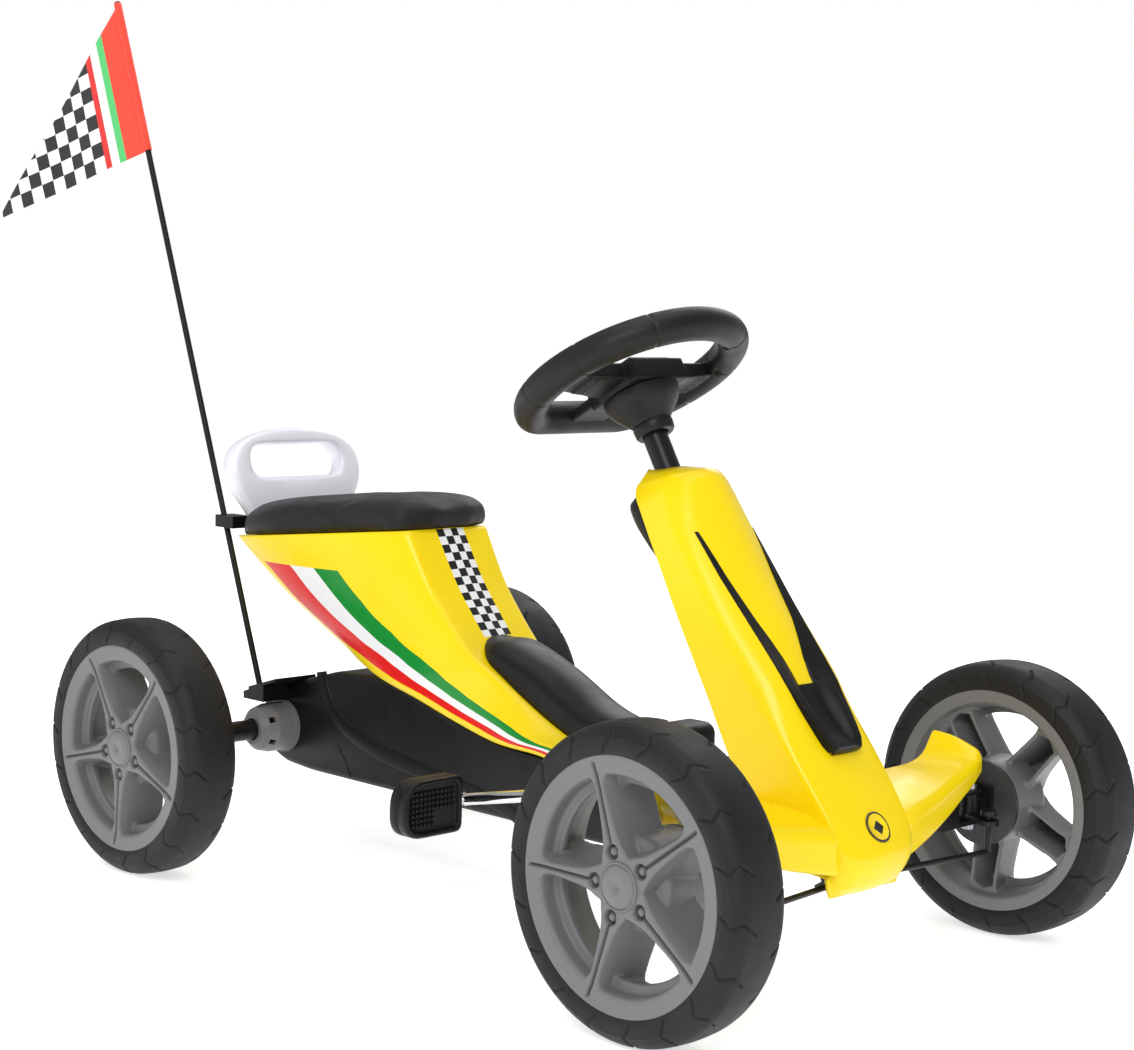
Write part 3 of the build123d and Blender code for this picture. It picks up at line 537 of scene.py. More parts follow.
def rim_material():
    """Grey moulding with painted shade darkening the slots and the lug wells."""
    n = Nodes("rim_grey")
    grey = n.mix(n.attribute("recess_shade"), srgb(112, 113, 115), srgb(30, 30, 32))
    return finish_surface(n, grey, 0.42, 700.0, 0.00006, specular=0.4, uneven=0.07)


def build_wheels():
    """Tyre, rim and hub cap of the four wheels share their meshes; the right ones are turned."""
    tyre, rim, cap = tyre_mesh("tyre_form"), rim_mesh("rim_form"), cap_mesh("cap_form")
    tyre.data.materials.append(foam_rubber())
    rim.data.materials.append(rim_material())
    cap.data.materials.append(M["wheel_plastic"])
    for corner, body in WHEELS.items():
        low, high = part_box(corner + "_tyre")
        side = 1 if low.y > 0 else -1
        turn = Matrix.Rotation(0 if side > 0 else math.pi, 4, "Z")
        for kind, form, slot in (("tyre", tyre, "tyre"), ("rim", rim, "wheel_plastic"),
                                 ("hub_cap", cap, "wheel_plastic")):
            obj = bpy.data.objects.new(f"{corner}_{kind}_look", form.data)
            bpy.context.scene.collection.objects.link(obj)
            phase = WHEEL_PHASE[corner] if side > 0 else 180 - WHEEL_PHASE[corner]
            phase = 0 if kind == "tyre" else (phase + SPOKE_STEP / 2) % SPOKE_STEP - SPOKE_STEP / 2
            phase = Matrix.Rotation(-math.radians(phase), 4, "Y")
            obj.matrix_world = Matrix.Translation((low + high) / 2) @ turn @ phase
            finished(obj, body, f"{corner}_{kind}")
    for form in (tyre, rim, cap):
        bpy.data.objects.remove(form)


build_wheels()


# ---------------------------------------------------------------- yellow seat shell
# Lower rear edge, fullest point and front crease of the shell's side, from the deck to the nose.
SHELL_STATIONS = [
    ((-60, 50, 305.5), (6, 96, 311.8), (176, 55, 328.1)),
    ((-32, 47, 282.0), (28, 85, 283.0), (205, 53, 281.0)),
    ((6, 44, 250.0), (72, 77, 252.0), (231, 51, 251.0)),
    ((62, 43, 218.0), (126, 68, 222.0), (256, 49, 227.0)),
    ((104, 50, 200.0), (164, 63, 208.0), (270, 47, 216.0)),
    ((150, 57.2, 186.5), (200, 61, 196.0), (288, 44, 206.0)),
    ((205, 57.4, 173.5), (244, 60, 184.0), (312, 41, 193.0)),
    ((260, 57.4, 159.5), (290, 59, 171.0), (342, 39, 178.0)),
    ((312, 57.4, 149.0), (334, 58, 160.0), (378, 38, 163.5)),
    ((369, 57.4, 146.0), (382, 57, 154.0), (412, 38, 155.0)),
    ((420, 57.4, 136.5), (428, 56.5, 146.0), (446, 38, 147.0)),
    ((504, 57.4, 118.0), (504, 56.5, 124.0), (504, 38, 127.0)),
]
# Middle of the shell's front, on the same stations.
SHELL_FRONT = [(180, 329.0), (209, 284.0), (235, 252.0), (256, 229.5), (270, 219.5), (291, 208.0),
               (316, 194.0), (346, 179.0), (380, 164.0), (413, 155.4), (446, 147.4), (504, 127.4)]
SIDE_STEPS, FRONT_STEPS = 30, 14
CHECKER_HALF, CHECKER_CELL = 17.0, 8.5


def bezier(a, control, b, t):
    """Points of a curve from a to b that leans towards control."""
    return a * (1 - t) ** 2 + control * 2 * t * (1 - t) + b * t * t


SHELL_ROWS, REAR_WALL_ROWS = 120, 52


def shell_grid():
    """Points of the left half: a row per station, from the lower rear edge round to the middle."""
    edges = np.array([[*low, *full, *crease, front_x, 0, front_z]
                      for (low, full, crease), (front_x, front_z)
                      in zip(SHELL_STATIONS, SHELL_FRONT)], float)
    lines = smooth_line(edges, SHELL_ROWS)
    t_side = np.linspace(0, 1, SIDE_STEPS)[:, None]
    t_front = np.linspace(0, 1, FRONT_STEPS)[:, None]
    rows = []
    for line in lines:
        low, full, crease, middle = line[:3], line[3:6], line[6:9], line[9:12]
        side = bezier(low, 2 * full - (low + crease) / 2, crease, t_side)
        bulge = np.array([middle[0] - 2, crease[1] * 0.55, (middle[2] + crease[2]) / 2])
        front = bezier(crease, bulge, middle, t_front)
        start, end = side[-4], front[2]
        turn = bezier(start, crease, end, np.linspace(0, 1, 9)[:, None])
        rows.append(np.vstack([side[:-4], turn, front[3:]]))
    return np.array(rows)


def rear_wall(grid, rows, steps=14):
    """The back of the shell between its two lower rear edges, down to the chain case."""
    made = []
    for k in range(rows):
        edge = grid[k][0]
        y = np.linspace(-edge[1], edge[1], steps)
        dish = 5.0 * (1 - (y / edge[1]) ** 2)
        made.append(np.column_stack([edge[0] - dish, y, np.full(steps, edge[2]) - dish * 0.4]))
    return made


def mirror(values):
    """Values of the shell's left half, row by row, carried on over its right half."""
    return np.concatenate([values, values[:, ::-1][:, 1:]], axis=1).ravel()


def build_seat_shell():
    """Thin saddle-shaped skin, open under its deck only towards the chain case."""
    grid = shell_grid()
    rows, columns = grid.shape[:2]
    flipped = (grid * [1, -1, 1])[:, ::-1][:, 1:]
    across = np.concatenate([grid, flipped], axis=1)
    all_columns = across.shape[1]
    points, faces = list(across.reshape(-1, 3)), grid_faces(rows, all_columns)
    wall = np.array(rear_wall(grid, REAR_WALL_ROWS))
    wall_points = wall[:, ::-1].reshape(-1, 3)
    start = len(points)
    points += [tuple(p) for p in wall_points]
    faces += grid_faces(REAR_WALL_ROWS, wall.shape[1], start=start)
    deck = list(range(all_columns)) + list(range(start + wall.shape[1] - 2, start, -1))
    faces.append(tuple(deck))
    run = np.concatenate([np.zeros((rows, 1)), np.cumsum(
        np.linalg.norm(np.diff(grid, axis=1), axis=2), axis=1)], axis=1)
    station = np.linspace(0, 1, rows)[:, None] * np.ones((1, columns))
    outside = np.full(len(wall_points), -1.0)
    down = np.concatenate([[0], np.cumsum(np.linalg.norm(np.diff(grid[:, -1], axis=0), axis=1))])
    down = down[:, None] * np.ones((1, columns))
    obj = mesh_object("seat_shell_skin", points, faces)
    for k, line in enumerate(BAND_LINES):
        past = run - np.interp(station, [at for at, gap in line], [gap for at, gap in line])
        float_attribute(obj, f"past_line_{k}", np.concatenate([mirror(past), outside]))
    float_attribute(obj, "down", np.concatenate([mirror(down), outside]))
    work = bmesh.new()
    work.from_mesh(obj.data)
    bmesh.ops.remove_doubles(work, verts=work.verts, dist=0.00005)
    bmesh.ops.recalc_face_normals(work, faces=work.faces)
    work.to_mesh(obj.data)
    work.free()
    modifier(obj, "SOLIDIFY", thickness=SHELL_THICK, offset=-1.0)
    finished(obj, "chassis", "seat_shell", shell_material())


# Lines between the tricolour's bands: station along the shell and distance from its lower edge.
BAND_LINES = [
    [(0.10, 58), (0.15, 54), (0.19, 48), (0.235, 44), (0.28, 37), (0.327, 32), (0.378, 24.5),
     (0.44, 19), (0.50, 16.6), (0.56, 13), (0.63, 11), (0.706, 6), (1.0, 0.5)],
    [(0.094, 100.6), (0.136, 95.7), (0.18, 91.6), (0.225, 85.2), (0.268, 80.7), (0.319, 70.8),
     (0.378, 54.2), (0.442, 40.4), (0.508, 30.5), (0.571, 24.5), (0.642, 19.9), (0.718, 10),
     (1.0, 3.2)],
    [(0.086, 132.9), (0.128, 129.9), (0.171, 125), (0.216, 117.1), (0.261, 109), (0.314, 97.3),
     (0.379, 74.3), (0.443, 57.9), (0.513, 43.2), (0.576, 36), (0.646, 28.4), (0.728, 14.3),
     (1.0, 5.8)],
    [(0.08, 164.2), (0.118, 161.4), (0.161, 158.2), (0.207, 149.6), (0.251, 143.2),
     (0.309, 126.7), (0.374, 102.7), (0.446, 77.2), (0.518, 58.8), (0.58, 48.8), (0.651, 39),
     (0.737, 20.3), (1.0, 8.4)],
]
BAND_TOP, STRIP_LONG = 0.286, 118.0


def shell_material():
    """Gloss yellow with three bands along the lower edge and a chequered strip down the front."""
    n = Nodes("shell_yellow")
    down = n.attribute("down")
    spot = n.add("ShaderNodeSeparateXYZ")
    n.link(n.spot, spot.inputs[0])
    bands = YELLOW
    for k, paint in enumerate((RED, WHITE, GREEN, YELLOW)):
        bands = n.mix(n.maths("GREATER_THAN", n.attribute(f"past_line_{k}"), 0.0), bands, paint)
    colour = n.mix(n.maths("LESS_THAN", spot.outputs["Z"], BAND_TOP), YELLOW, bands)
    y = spot.outputs["Y"]
    strip = n.maths("LESS_THAN", n.maths("ABSOLUTE", y), CHECKER_HALF / 1000)
    cell_a = n.maths("FLOOR", n.maths("DIVIDE", y, CHECKER_CELL / 1000))
    cell_b = n.maths("FLOOR", n.maths("DIVIDE", down, CHECKER_CELL))
    odd = n.maths("PINGPONG", n.maths("ADD", cell_a, cell_b), 1.0)
    strip = n.maths("MULTIPLY", strip, n.maths("GREATER_THAN", down, 0.5))
    strip = n.maths("MULTIPLY", strip, n.maths("LESS_THAN", down, STRIP_LONG))
    colour = n.mix(strip, colour, n.mix(odd, INK, WHITE))
    return finish_surface(n, colour, 0.3, 900.0, 0.00004, coat=0.1, specular=0.28, uneven=0.03)


# ---------------------------------------------------------------- seat pad and handle
DECK_ORIGIN, DECK_RISE = (-60.0, 305.5), 23 / 240
PAD_PLAN = [(-31, 30), (-31, 63), (-55, 63), (-46, 77), (-16, 92), (14, 96.5), (176, 58), (186, 26)]
PAD_CORNERS = [3, 3, 6, 10, 22, 30, 14, 18]
PAD_MIDDLE, PAD_CROWN, PAD_VOXEL = 78.0, 33.5, 0.004
PAD_PRESSURE, PAD_SWELL = 4.0, 3.0
# Inset of the pad's outline at each height over the deck.
PAD_LEVELS = [(0.0, 0.4), (0.0, 9.0), (0.6, 14.5), (2.6, 19.0), (7.5, 23.0), (16.0, 26.5),
              (28.0, 29.0), (46.0, 31.5), (68.0, 33.0)]
CLOTH_FRAMES = 20


def deck_height(x):
    """Height of the shell's deck under the pad."""
    return DECK_ORIGIN[1] + (x - DECK_ORIGIN[0]) * DECK_RISE


def puffed(obj, pressure, most):
    """Swells a closed mesh as stuffed cloth does, by at most a few millimetres."""
    before = coordinates(obj)
    cloth = modifier(obj, "CLOTH")
    cloth.settings.use_pressure = True
    cloth.settings.uniform_pressure_force = pressure
    cloth.settings.effector_weights.gravity = 0.0
    for step in range(1, CLOTH_FRAMES + 1):
        bpy.context.scene.frame_set(step)
    applied(obj)
    moved_by = coordinates(obj) - before
    size = np.linalg.norm(moved_by, axis=1)[:, None]
    set_coordinates(obj, before + moved_by * np.minimum(1, most / np.maximum(size, 1e-6)))
    bpy.context.scene.frame_set(1)


def build_seat_pad():
    """Crowned pad with rounded sides that tuck in at the deck."""
    half = rounded(PAD_PLAN, PAD_CORNERS, 6, closed=False)
    plan = np.array(half + [(x, -y) for x, y in half[::-1]])
    dense = []
    for a, b in zip(plan, np.roll(plan, -1, axis=0)):
        pieces = max(1, int(np.linalg.norm(b - a) / 6))
        dense += [a + (b - a) * k / pieces for k in range(pieces)]
    plan = np.array(dense)
    middle = np.array([PAD_MIDDLE, 0.0])
    reach = np.linalg.norm(plan - middle, axis=1)[:, None]
    sections = []
    for inset, rise in PAD_LEVELS:
        ring = middle + (plan - middle) * (1 - inset / reach)
        sections.append([(x, y, deck_height(x) + rise) for x, y in ring])
    sections.append([(PAD_MIDDLE + (x - PAD_MIDDLE) * 0.05, y * 0.05,
                      deck_height(PAD_MIDDLE) + PAD_CROWN) for x, y in plan])
    obj = mesh_object("seat_pad_cushion", *lofted(sections))
    modifier(obj, "REMESH", mode="VOXEL", voxel_size=PAD_VOXEL, use_smooth_shade=True)
    modifier(obj, "SMOOTH", factor=0.5, iterations=6)
    applied(obj)
    puffed(obj, PAD_PRESSURE, PAD_SWELL)
    floor = coordinates(obj)
    level = np.array([deck_height(x - AXLE_X * 1000) for x in floor[:, 0]])
    floor[:, 2] = np.maximum(floor[:, 2], level + 0.3)
    set_coordinates(obj, floor)
    modifier(obj, "SUBSURF", levels=1, render_levels=1)
    applied(obj)
    obj.data.shade_smooth()
    finished(obj, "chassis", "seat_pad", pad_material())


def pad_material():
    """Black moulded skin with a fine leather grain."""
    n = Nodes("pad_skin")
    cells = n.add("ShaderNodeTexVoronoi", feature="DISTANCE_TO_EDGE")
    n.link(n.spot, cells.inputs["Vector"])
    cells.inputs["Scale"].default_value = 700.0
    creases = n.range(cells.outputs["Distance"], 0.0, 0.12)
    base = n.mix(n.range(n.noise(24.0, 4.0), 0.3, 0.7), srgb(22, 21, 23), srgb(29, 28, 31))
    base = n.mix(creases, scaled(srgb(22, 21, 23), 0.8), base)
    n.link(base, n.shader.inputs["Base Color"])
    n.link(n.range(n.noise(50.0, 3.0), 0.3, 0.7, 0.46, 0.6), n.shader.inputs["Roughness"])
    n.link(n.bump(creases, 0.00006), n.shader.inputs["Normal"])
    n.shader.inputs["Sheen Weight"].default_value = 0.04
    n.shader.inputs["Specular IOR Level"].default_value = 0.3
    return n.material


HANDLE_OUTER = [(60, 0), (62, 16), (80, 44), (83, 64), (75, 84), (54, 97), (22, 103)]
HANDLE_THICK, HANDLE_LEAN = 24.0, 0.26
HOLE_HALF, HOLE_MIDDLE = (56.0, 16.5), 70.0
HANDLE_FOOT = np.array([-58.0, 0.0, 307.0])
HANDLE_RINGS, HANDLE_SIDES, HANDLE_SQUARE = 260, 28, 2 / 3


def ray_reach(outline, angles, centre):
    """How far a closed outline lies from centre in each direction."""
    outline = np.array(outline) - centre
    found = []
    for a in angles:
        d = np.array([math.cos(a), math.sin(a)])
        best = 0.0
        for p, q in zip(outline, np.roll(outline, -1, axis=0)):
            e = q - p
            bottom = d[0] * e[1] - d[1] * e[0]
            if abs(bottom) < 1e-9:
                continue
            t = (p[0] * e[1] - p[1] * e[0]) / bottom
            u = (p[0] * d[1] - p[1] * d[0]) / bottom
            if t > 0 and -1e-6 <= u <= 1 + 1e-6:
                best = max(best, t)
        found.append(best)
    return np.array(found)


def build_handle():
    """Backrest and grip in one thick loop with soft edges."""
    outer = HANDLE_OUTER + [(-y, z) for y, z in HANDLE_OUTER[::-1]]
    outer = rounded(outer, 26, 6)
    w, h = HOLE_HALF
    hole = rounded([(w, HOLE_MIDDLE - h), (w, HOLE_MIDDLE + h), (-w, HOLE_MIDDLE + h),
                    (-w, HOLE_MIDDLE - h)], 17, 6)
    angles = np.linspace(0, 2 * math.pi, HANDLE_RINGS, endpoint=False)
    centre = np.array([0.0, HOLE_MIDDLE])
    far, near = ray_reach(outer, angles, centre), ray_reach(hole, angles, centre)
    length = math.hypot(1, HANDLE_LEAN)
    normal = np.array([1 / length, 0, HANDLE_LEAN / length])
    up = np.array([-HANDLE_LEAN / length, 0, 1 / length])
    side = np.array([0.0, 1.0, 0.0])
    origin = HANDLE_FOOT + normal * HANDLE_THICK / 2
    sections = []
    for a, r_out, r_in in zip(angles, far, near):
        ring = []
        for s in np.linspace(0, 2 * math.pi, HANDLE_SIDES, endpoint=False):
            c, d = math.cos(s), math.sin(s)
            across = math.copysign(abs(c) ** HANDLE_SQUARE, c)
            deep = math.copysign(abs(d) ** HANDLE_SQUARE, d)
            r = (r_out + r_in) / 2 + (r_out - r_in) / 2 * across
            p = (origin + side * (r * math.cos(a)) + up * (HOLE_MIDDLE + r * math.sin(a))
                 + normal * deep * HANDLE_THICK / 2)
            p[2] = max(p[2], deck_height(p[0]) + 0.2)
            ring.append(tuple(p))
        sections.append(ring)
    points = [p for ring in sections for p in ring]
    faces = grid_faces(HANDLE_RINGS, HANDLE_SIDES, True, True)
    obj = mesh_object("grab_handle_loop", points, faces)
    finished(obj, "chassis", "grab_handle", M["silver_paint"])


# ---------------------------------------------------------------- black body parts
# Top line of the spine cover, and the side outline of the stop at its front end.
SPINE = [(249, 236), (279, 234), (332, 217), (383, 192), (415, 182), (460, 172), (505, 160)]
SHELL_FRONT_X = [x for x, z in SHELL_FRONT]
SHELL_FRONT_Z = [z for x, z in SHELL_FRONT]


SPINE_STOP = [(462, 158), (462, 180), (468, 186), (492, 186), (499, 180), (499, 158)]
SPINE_HALF, SPINE_NOSE = 35.0, 34.0


def build_spine():
    """Half-round cover with a blunt rear nose and a stop block near the shield."""
    line = smooth_line(SPINE, 70)
    sections = []
    for x, top in line:
        nose = min(1.0, (x - line[0][0] + 0.6) / SPINE_NOSE)
        swell = math.sqrt(max(0.0, 1 - (1 - nose) ** 2))
        half = SPINE_HALF * swell + 0.3
        low = float(np.interp(x, SHELL_FRONT_X, SHELL_FRONT_Z)) - 2
        rise = (top - low) * (0.25 + 0.75 * swell)
        ring = []
        for a in np.linspace(0, math.pi, 25):
            c, s = math.cos(a), math.sin(a)
            ring.append((x, half * math.copysign(abs(c) ** 0.8, c), low + rise * s ** 0.8))
        ring += [(x, half * y, low - 3) for y in (-0.6, 0.6)]
        sections.append(ring)
    obj = mesh_object("spine_cover_tube", *lofted(sections))
    finished(obj, "chassis", "spine_cover", M["black_plastic"])
    sections = []
    for y, inset in ((-27, 4), (-25, 1.2), (-22, 0), (22, 0), (25, 1.2), (27, 4)):
        middle = np.mean(SPINE_STOP, axis=0)
        ring = [p + (middle - p) * inset / 20 for p in np.array(rounded(SPINE_STOP, 4, 3))]
        sections.append([(x, y, z) for x, z in ring])
    stop = mesh_object("spine_stop", *lofted(sections))
    stop.data.materials.append(M["black_plastic"])
    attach(stop, "chassis")


CASE_OUTLINE = [(-38, 98), (-38, 138), (-18, 156), (25, 169), (80, 184), (148, 187), (175, 182),
                (260, 159), (312, 149), (369, 146), (420, 136.5), (470, 128), (504, 118),
                (512, 100), (505, 80), (40, 80), (0, 83)]
CASE_HALF, CASE_ROUND = 55.0, 7.0
SWOOSH = [(58, 181), (62, 166), (76, 146), (104, 128), (150, 115), (205, 107), (262, 101),
          (318, 92), (346, 82)]
SWOOSH_WIDTH = [15, 15, 15.5, 16, 16, 15, 14, 13, 12]
SEAM, SEAM_WIDTH = [(84, 112), (96, 98), (104, 84)], [1.2, 1.2, 1.2]


def case_half(side):
    """One half of the chain case with a rolled outer edge."""
    outline = np.array(rounded(CASE_OUTLINE, 9, 4))
    inner = np.roll(outline, 1, axis=0) - np.roll(outline, -1, axis=0)
    inner = np.column_stack([-inner[:, 1], inner[:, 0]])
    inner /= np.linalg.norm(inner, axis=1)[:, None]
    middle = np.array([230.0, 115.0])
    if np.sum((middle - outline) * inner) < 0:
        inner = -inner
    sections = []
    for k in range(7):
        a = math.pi / 2 * k / 6
        inset = CASE_ROUND * (1 - math.cos(a))
        y = CASE_HALF - CASE_ROUND + CASE_ROUND * math.sin(a)
        sections.append((y, outline + inner * inset))
    sections = [(0.6, outline + inner * 0.8), (1.4, outline), *sections]
    rings = [[(x, side * y, z) for x, z in ring] for y, ring in sections]
    return lofted(rings)


def raised_band(line, widths, side, lift, count=80):
    """A low rounded band along a line on the side of the case."""
    middle = smooth_line([(x, z, w) for (x, z), w in zip(line, widths)], count)
    along = np.gradient(middle[:, :2], axis=0)
    along /= np.linalg.norm(along, axis=1)[:, None]
    normal = np.column_stack([-along[:, 1], along[:, 0]])
    sections = []
    for (x, z, w), (nx, nz) in zip(middle, normal):
        ring = []
        for a, rise in ((-1.0, -0.4), (-0.93, 0.25), (-0.84, 0.8), (-0.7, 1.0), (0.7, 1.0),
                        (0.84, 0.8), (0.93, 0.25), (1.0, -0.4)):
            ring.append((x + nx * a * w / 2, side * (CASE_HALF + lift * rise), z + nz * a * w / 2))
        sections.append(ring)
    return lofted(sections)


def build_case():
    """Both halves of the chain case, each with a broad raised band and a moulding seam."""
    for side, name in ((-1, "right"), (1, "left")):
        band = raised_band(SWOOSH, SWOOSH_WIDTH, side, 1.5)
        seam = raised_band(SEAM, SEAM_WIDTH, side, 0.5, 20)
        obj = mesh_object(f"housing_{name}_skin", *joined(case_half(side), band, seam))
        obj.data.set_sharp_from_angle(angle=math.radians(42))
        finished(obj, "chassis", f"housing_{name}", M["black_plastic"])


# ---------------------------------------------------------------- steering axis
COLUMN_TOP = np.array([412.0, 0.0, 480.0])
LEAN = math.radians(59.6)
COLUMN_DIR = np.array([math.cos(LEAN), 0, -math.sin(LEAN)])
COLUMN_UP = np.array([math.sin(LEAN), 0, math.cos(LEAN)])


def steer_point(across, ahead, depth=0.0):
    """A point in the steering wheel's own axes, depth down the column."""
    return tuple(COLUMN_TOP + COLUMN_DIR * depth + COLUMN_UP * ahead + np.array([0, across, 0]))


# ---------------------------------------------------------------- front shield
FAIRING_RINGS = [
    # height, rear edge, side ridge, front corner, front middle, half width
    (397, 452, 484, 500, 509, 35), (380, 464, 495, 511, 521, 43), (356, 479, 511, 526, 538, 48.5),
    (322, 501, 537, 551, 563, 52), (290, 520, 562, 576, 589, 54), (246, 546, 598, 614, 622, 55),
    (222, 560, 617, 630, 636, 55), (182, 582, 652, 656, 661, 55), (137, 608, 686, 688, 691, 52),
    (112, 624, 694, 701, 705, 50), (90, 641, 684, 693, 697, 46), (80, 668, 677, 681, 684, 42),
]
BEAM_NOTCH, ROD_NOTCH = (104.0, 137.0, 668.5), (98.0, 682.0)
COLUMN_HOLE_R = 16.3
FAIRING_COLUMNS, FAIRING_ROW_COUNT = 181, 150
CROWN_LIFT, CROWN_CORNER, CROWN_FADE = 9.0, 13.0, 46.0
CROWN_HALF, CORNER_HALF, CORNER_FRONT, CORNER_LONG = 37, 36, 486, 34

SHIELD_TOP, SHIELD_LOW = np.array([523.0, 0, 397.0]), np.array([705.0, 0, 112.0])
SHIELD_DOWN = (SHIELD_LOW - SHIELD_TOP) / np.linalg.norm(SHIELD_LOW - SHIELD_TOP)
SHIELD_OUT = np.array([-SHIELD_DOWN[2], 0, SHIELD_DOWN[0]])
# The fork in the shield: run down the front, outer and inner edge of a blade, depth of the yellow
# panel between the blades.
FORK_RUN = [48, 88, 128, 160, 175, 183, 200, 215, 230, 241, 246]
FORK_OUTER = [36.5, 36, 33.5, 32, 31.3, 31, 28.5, 26, 23, 20.5, 18]
FORK_INNER = [35, 29, 22.5, 12.5, 10, 9.5, 9.5, 9.8, 10, 10.5, 10.5]
PANEL_DEPTH = [0, 3, 5, 9, 10, 10, 9, 6, 3, 0, 0]
# Height of the scoop's floor and of its outer rims over the shield, and the swelling on its walls.
SCOOP_FLOOR = [-9.2, -9.2, -9.2, -9.2, -9.2, -9.2, -7, -4, 0, 4.5, 6]
FORK_RIM = [0.7, 0.7, 0.8, 0.9, 1.2, 1.6, 3.4, 5.4, 7.2, 8, 7.4]
WALL_SWELL = [0, 0, 0, 0, 0.5, 1.5, 3.2, 3.6, 2.6, 0.8, 0]
BLADE_START, BLADE_END, SCOOP_END = 49.0, 183.0, 246.0
BLADE_ROWS, SCOOP_ROWS, SCOOP_BACK = 64, 34, -12.5
# The scoop's rolled lip: run past its end and share of its height.
LIP, LIP_HIGH, LIP_CORNER = ((1.6, 0.9), (2.8, 0.72), (3.4, 0.45), (3.6, -0.6)), 8.0, 4.0


def fork(table, run):
    """A value of the fork at some run down the shield."""
    return np.interp(run, FORK_RUN, table)


def fairing_section(ridge, corner, front, rear, half):
    """One ring of the shield, from its right rear edge round the front to the left one."""
    half_loop = [(rear, half), (ridge, half * 0.92), (corner, half * 0.72), (front, half * 0.22)]
    loop = half_loop + [(x, -y) for x, y in half_loop[::-1]]
    ring = np.array(rounded(loop, [0, 12, 12, 14, 14, 12, 12, 0], 7, closed=False))
    run = np.concatenate([[0], np.cumsum(np.linalg.norm(np.diff(ring, axis=0), axis=1))])
    wanted = np.linspace(0, run[-1], FAIRING_COLUMNS)
    return np.column_stack([np.interp(wanted, run, ring[:, k]) for k in (0, 1)])


def fairing_rows():
    """Heights and rings of the shield's skin before the fork is sunk into it."""
    rows = smooth_line([(z, ridge, corner, front, rear, half)
                        for z, rear, ridge, corner, front, half in FAIRING_RINGS],
                       FAIRING_ROW_COUNT)
    return [(row[0], fairing_section(*row[1:])) for row in rows]


FAIRING_ROWS = fairing_rows()


def shield_point(y, s, out):
    """A point on the shield's front, s along its fall and out from its surface."""
    z = SHIELD_TOP[2] + SHIELD_DOWN[2] * s
    heights = np.array([-row[0] for row in FAIRING_ROWS])
    at = int(np.clip(np.searchsorted(heights, -z), 1, len(heights) - 1))
    share = (-z - heights[at - 1]) / (heights[at] - heights[at - 1])
    x = [float(np.interp(y, ring[::-1, 1], ring[::-1, 0]))
         for _, ring in FAIRING_ROWS[at - 1:at + 1]]
    return np.array([x[0] + (x[1] - x[0]) * share, y, z]) + SHIELD_OUT * out


def sunk_ring(z, ring):
    """The ring with the panel between the fork's blades let in."""
    s = (SHIELD_TOP[2] - z) / -SHIELD_DOWN[2]
    points = np.column_stack([ring, np.full(len(ring), z)])
    outer, inner, depth = fork(FORK_OUTER, s), fork(FORK_INNER, s), fork(PANEL_DEPTH, s)
    if not FORK_RUN[0] < s < FORK_RUN[-1]:
        return points
    ahead = ring[:, 0] > ring[:, 0].max() - 30
    slope = np.clip((outer - np.abs(ring[:, 1])) / (outer - inner), 0, 1) * ahead
    return points - SHIELD_OUT * (slope * depth)[:, None]


def crown_lift(x, y):
    """How far the crown's dome lifts a point, less its drop at the rear corners."""
    middle = CROWN_LIFT * (1 - (y / CROWN_HALF) ** 2)
    behind = np.clip((CORNER_FRONT - x) / CORNER_LONG, 0, 1)
    corner = CROWN_CORNER * (y / CORNER_HALF) ** 2 * behind
    return middle - corner


def build_fairing():
    """Gloss shield: side ridges, domed crown notched for the column, notches for the axle."""
    rows = []
    for z, ring in FAIRING_ROWS:
        points = sunk_ring(z, ring)
        if BEAM_NOTCH[0] < z < BEAM_NOTCH[1]:
            points[:, 0] = np.maximum(points[:, 0], BEAM_NOTCH[2])
        if z < ROD_NOTCH[0]:
            points[:, 0] = np.maximum(points[:, 0], ROD_NOTCH[1])
        rows.append(points)
    rim = rows[0]
    wall = [r for r in rows if r[0][2] < rim[0][2] - 7]
    lean = 1 / math.sin(LEAN)
    hole_x = COLUMN_TOP[0] + (COLUMN_TOP[2] - rim[0][2]) / math.tan(LEAN)
    reach = math.acos(max(-1.0, (rim[0][0] - hole_x) / (COLUMN_HOLE_R * lean)))
    turn = np.linspace(-reach, reach, len(rim)) * math.copysign(1, rim[-1][1])
    notch = np.column_stack([hole_x + COLUMN_HOLE_R * lean * np.cos(turn),
                             COLUMN_HOLE_R * np.sin(turn), np.full(len(rim), rim[0][2])])
    notch[[0, -1], 0] = rim[0][0]
    inner = rim + (notch - rim) * 0.25
    shares = [1.0, 0.6, 0.25]
    crown = [notch, rim + (notch - rim) * 0.6, inner]
    for t in np.linspace(0, 1, 9)[1:-1]:
        crown.append(bezier(inner, rim, wall[0], t))
        shares.append(0.0)
    grid = np.array(crown + wall)
    lift = crown_lift(grid[:, :, 0], grid[:, :, 1])
    fade = np.clip(1 - (rim[0][2] - grid[:, :, 2]) / CROWN_FADE, 0, 1) ** 2
    grid[:, :, 2] += lift * fade
    for row, share, rise in zip(grid, shares, lift):
        row[:, 0] -= share * rise / math.tan(LEAN)
    obj = mesh_object("fairing_skin", grid.reshape(-1, 3), grid_faces(*grid.shape[:2]))
    modifier(obj, "SOLIDIFY", thickness=FAIRING_THICK, offset=-1.0)
    finished(obj, "chassis", "fairing", M["yellow_plastic"])


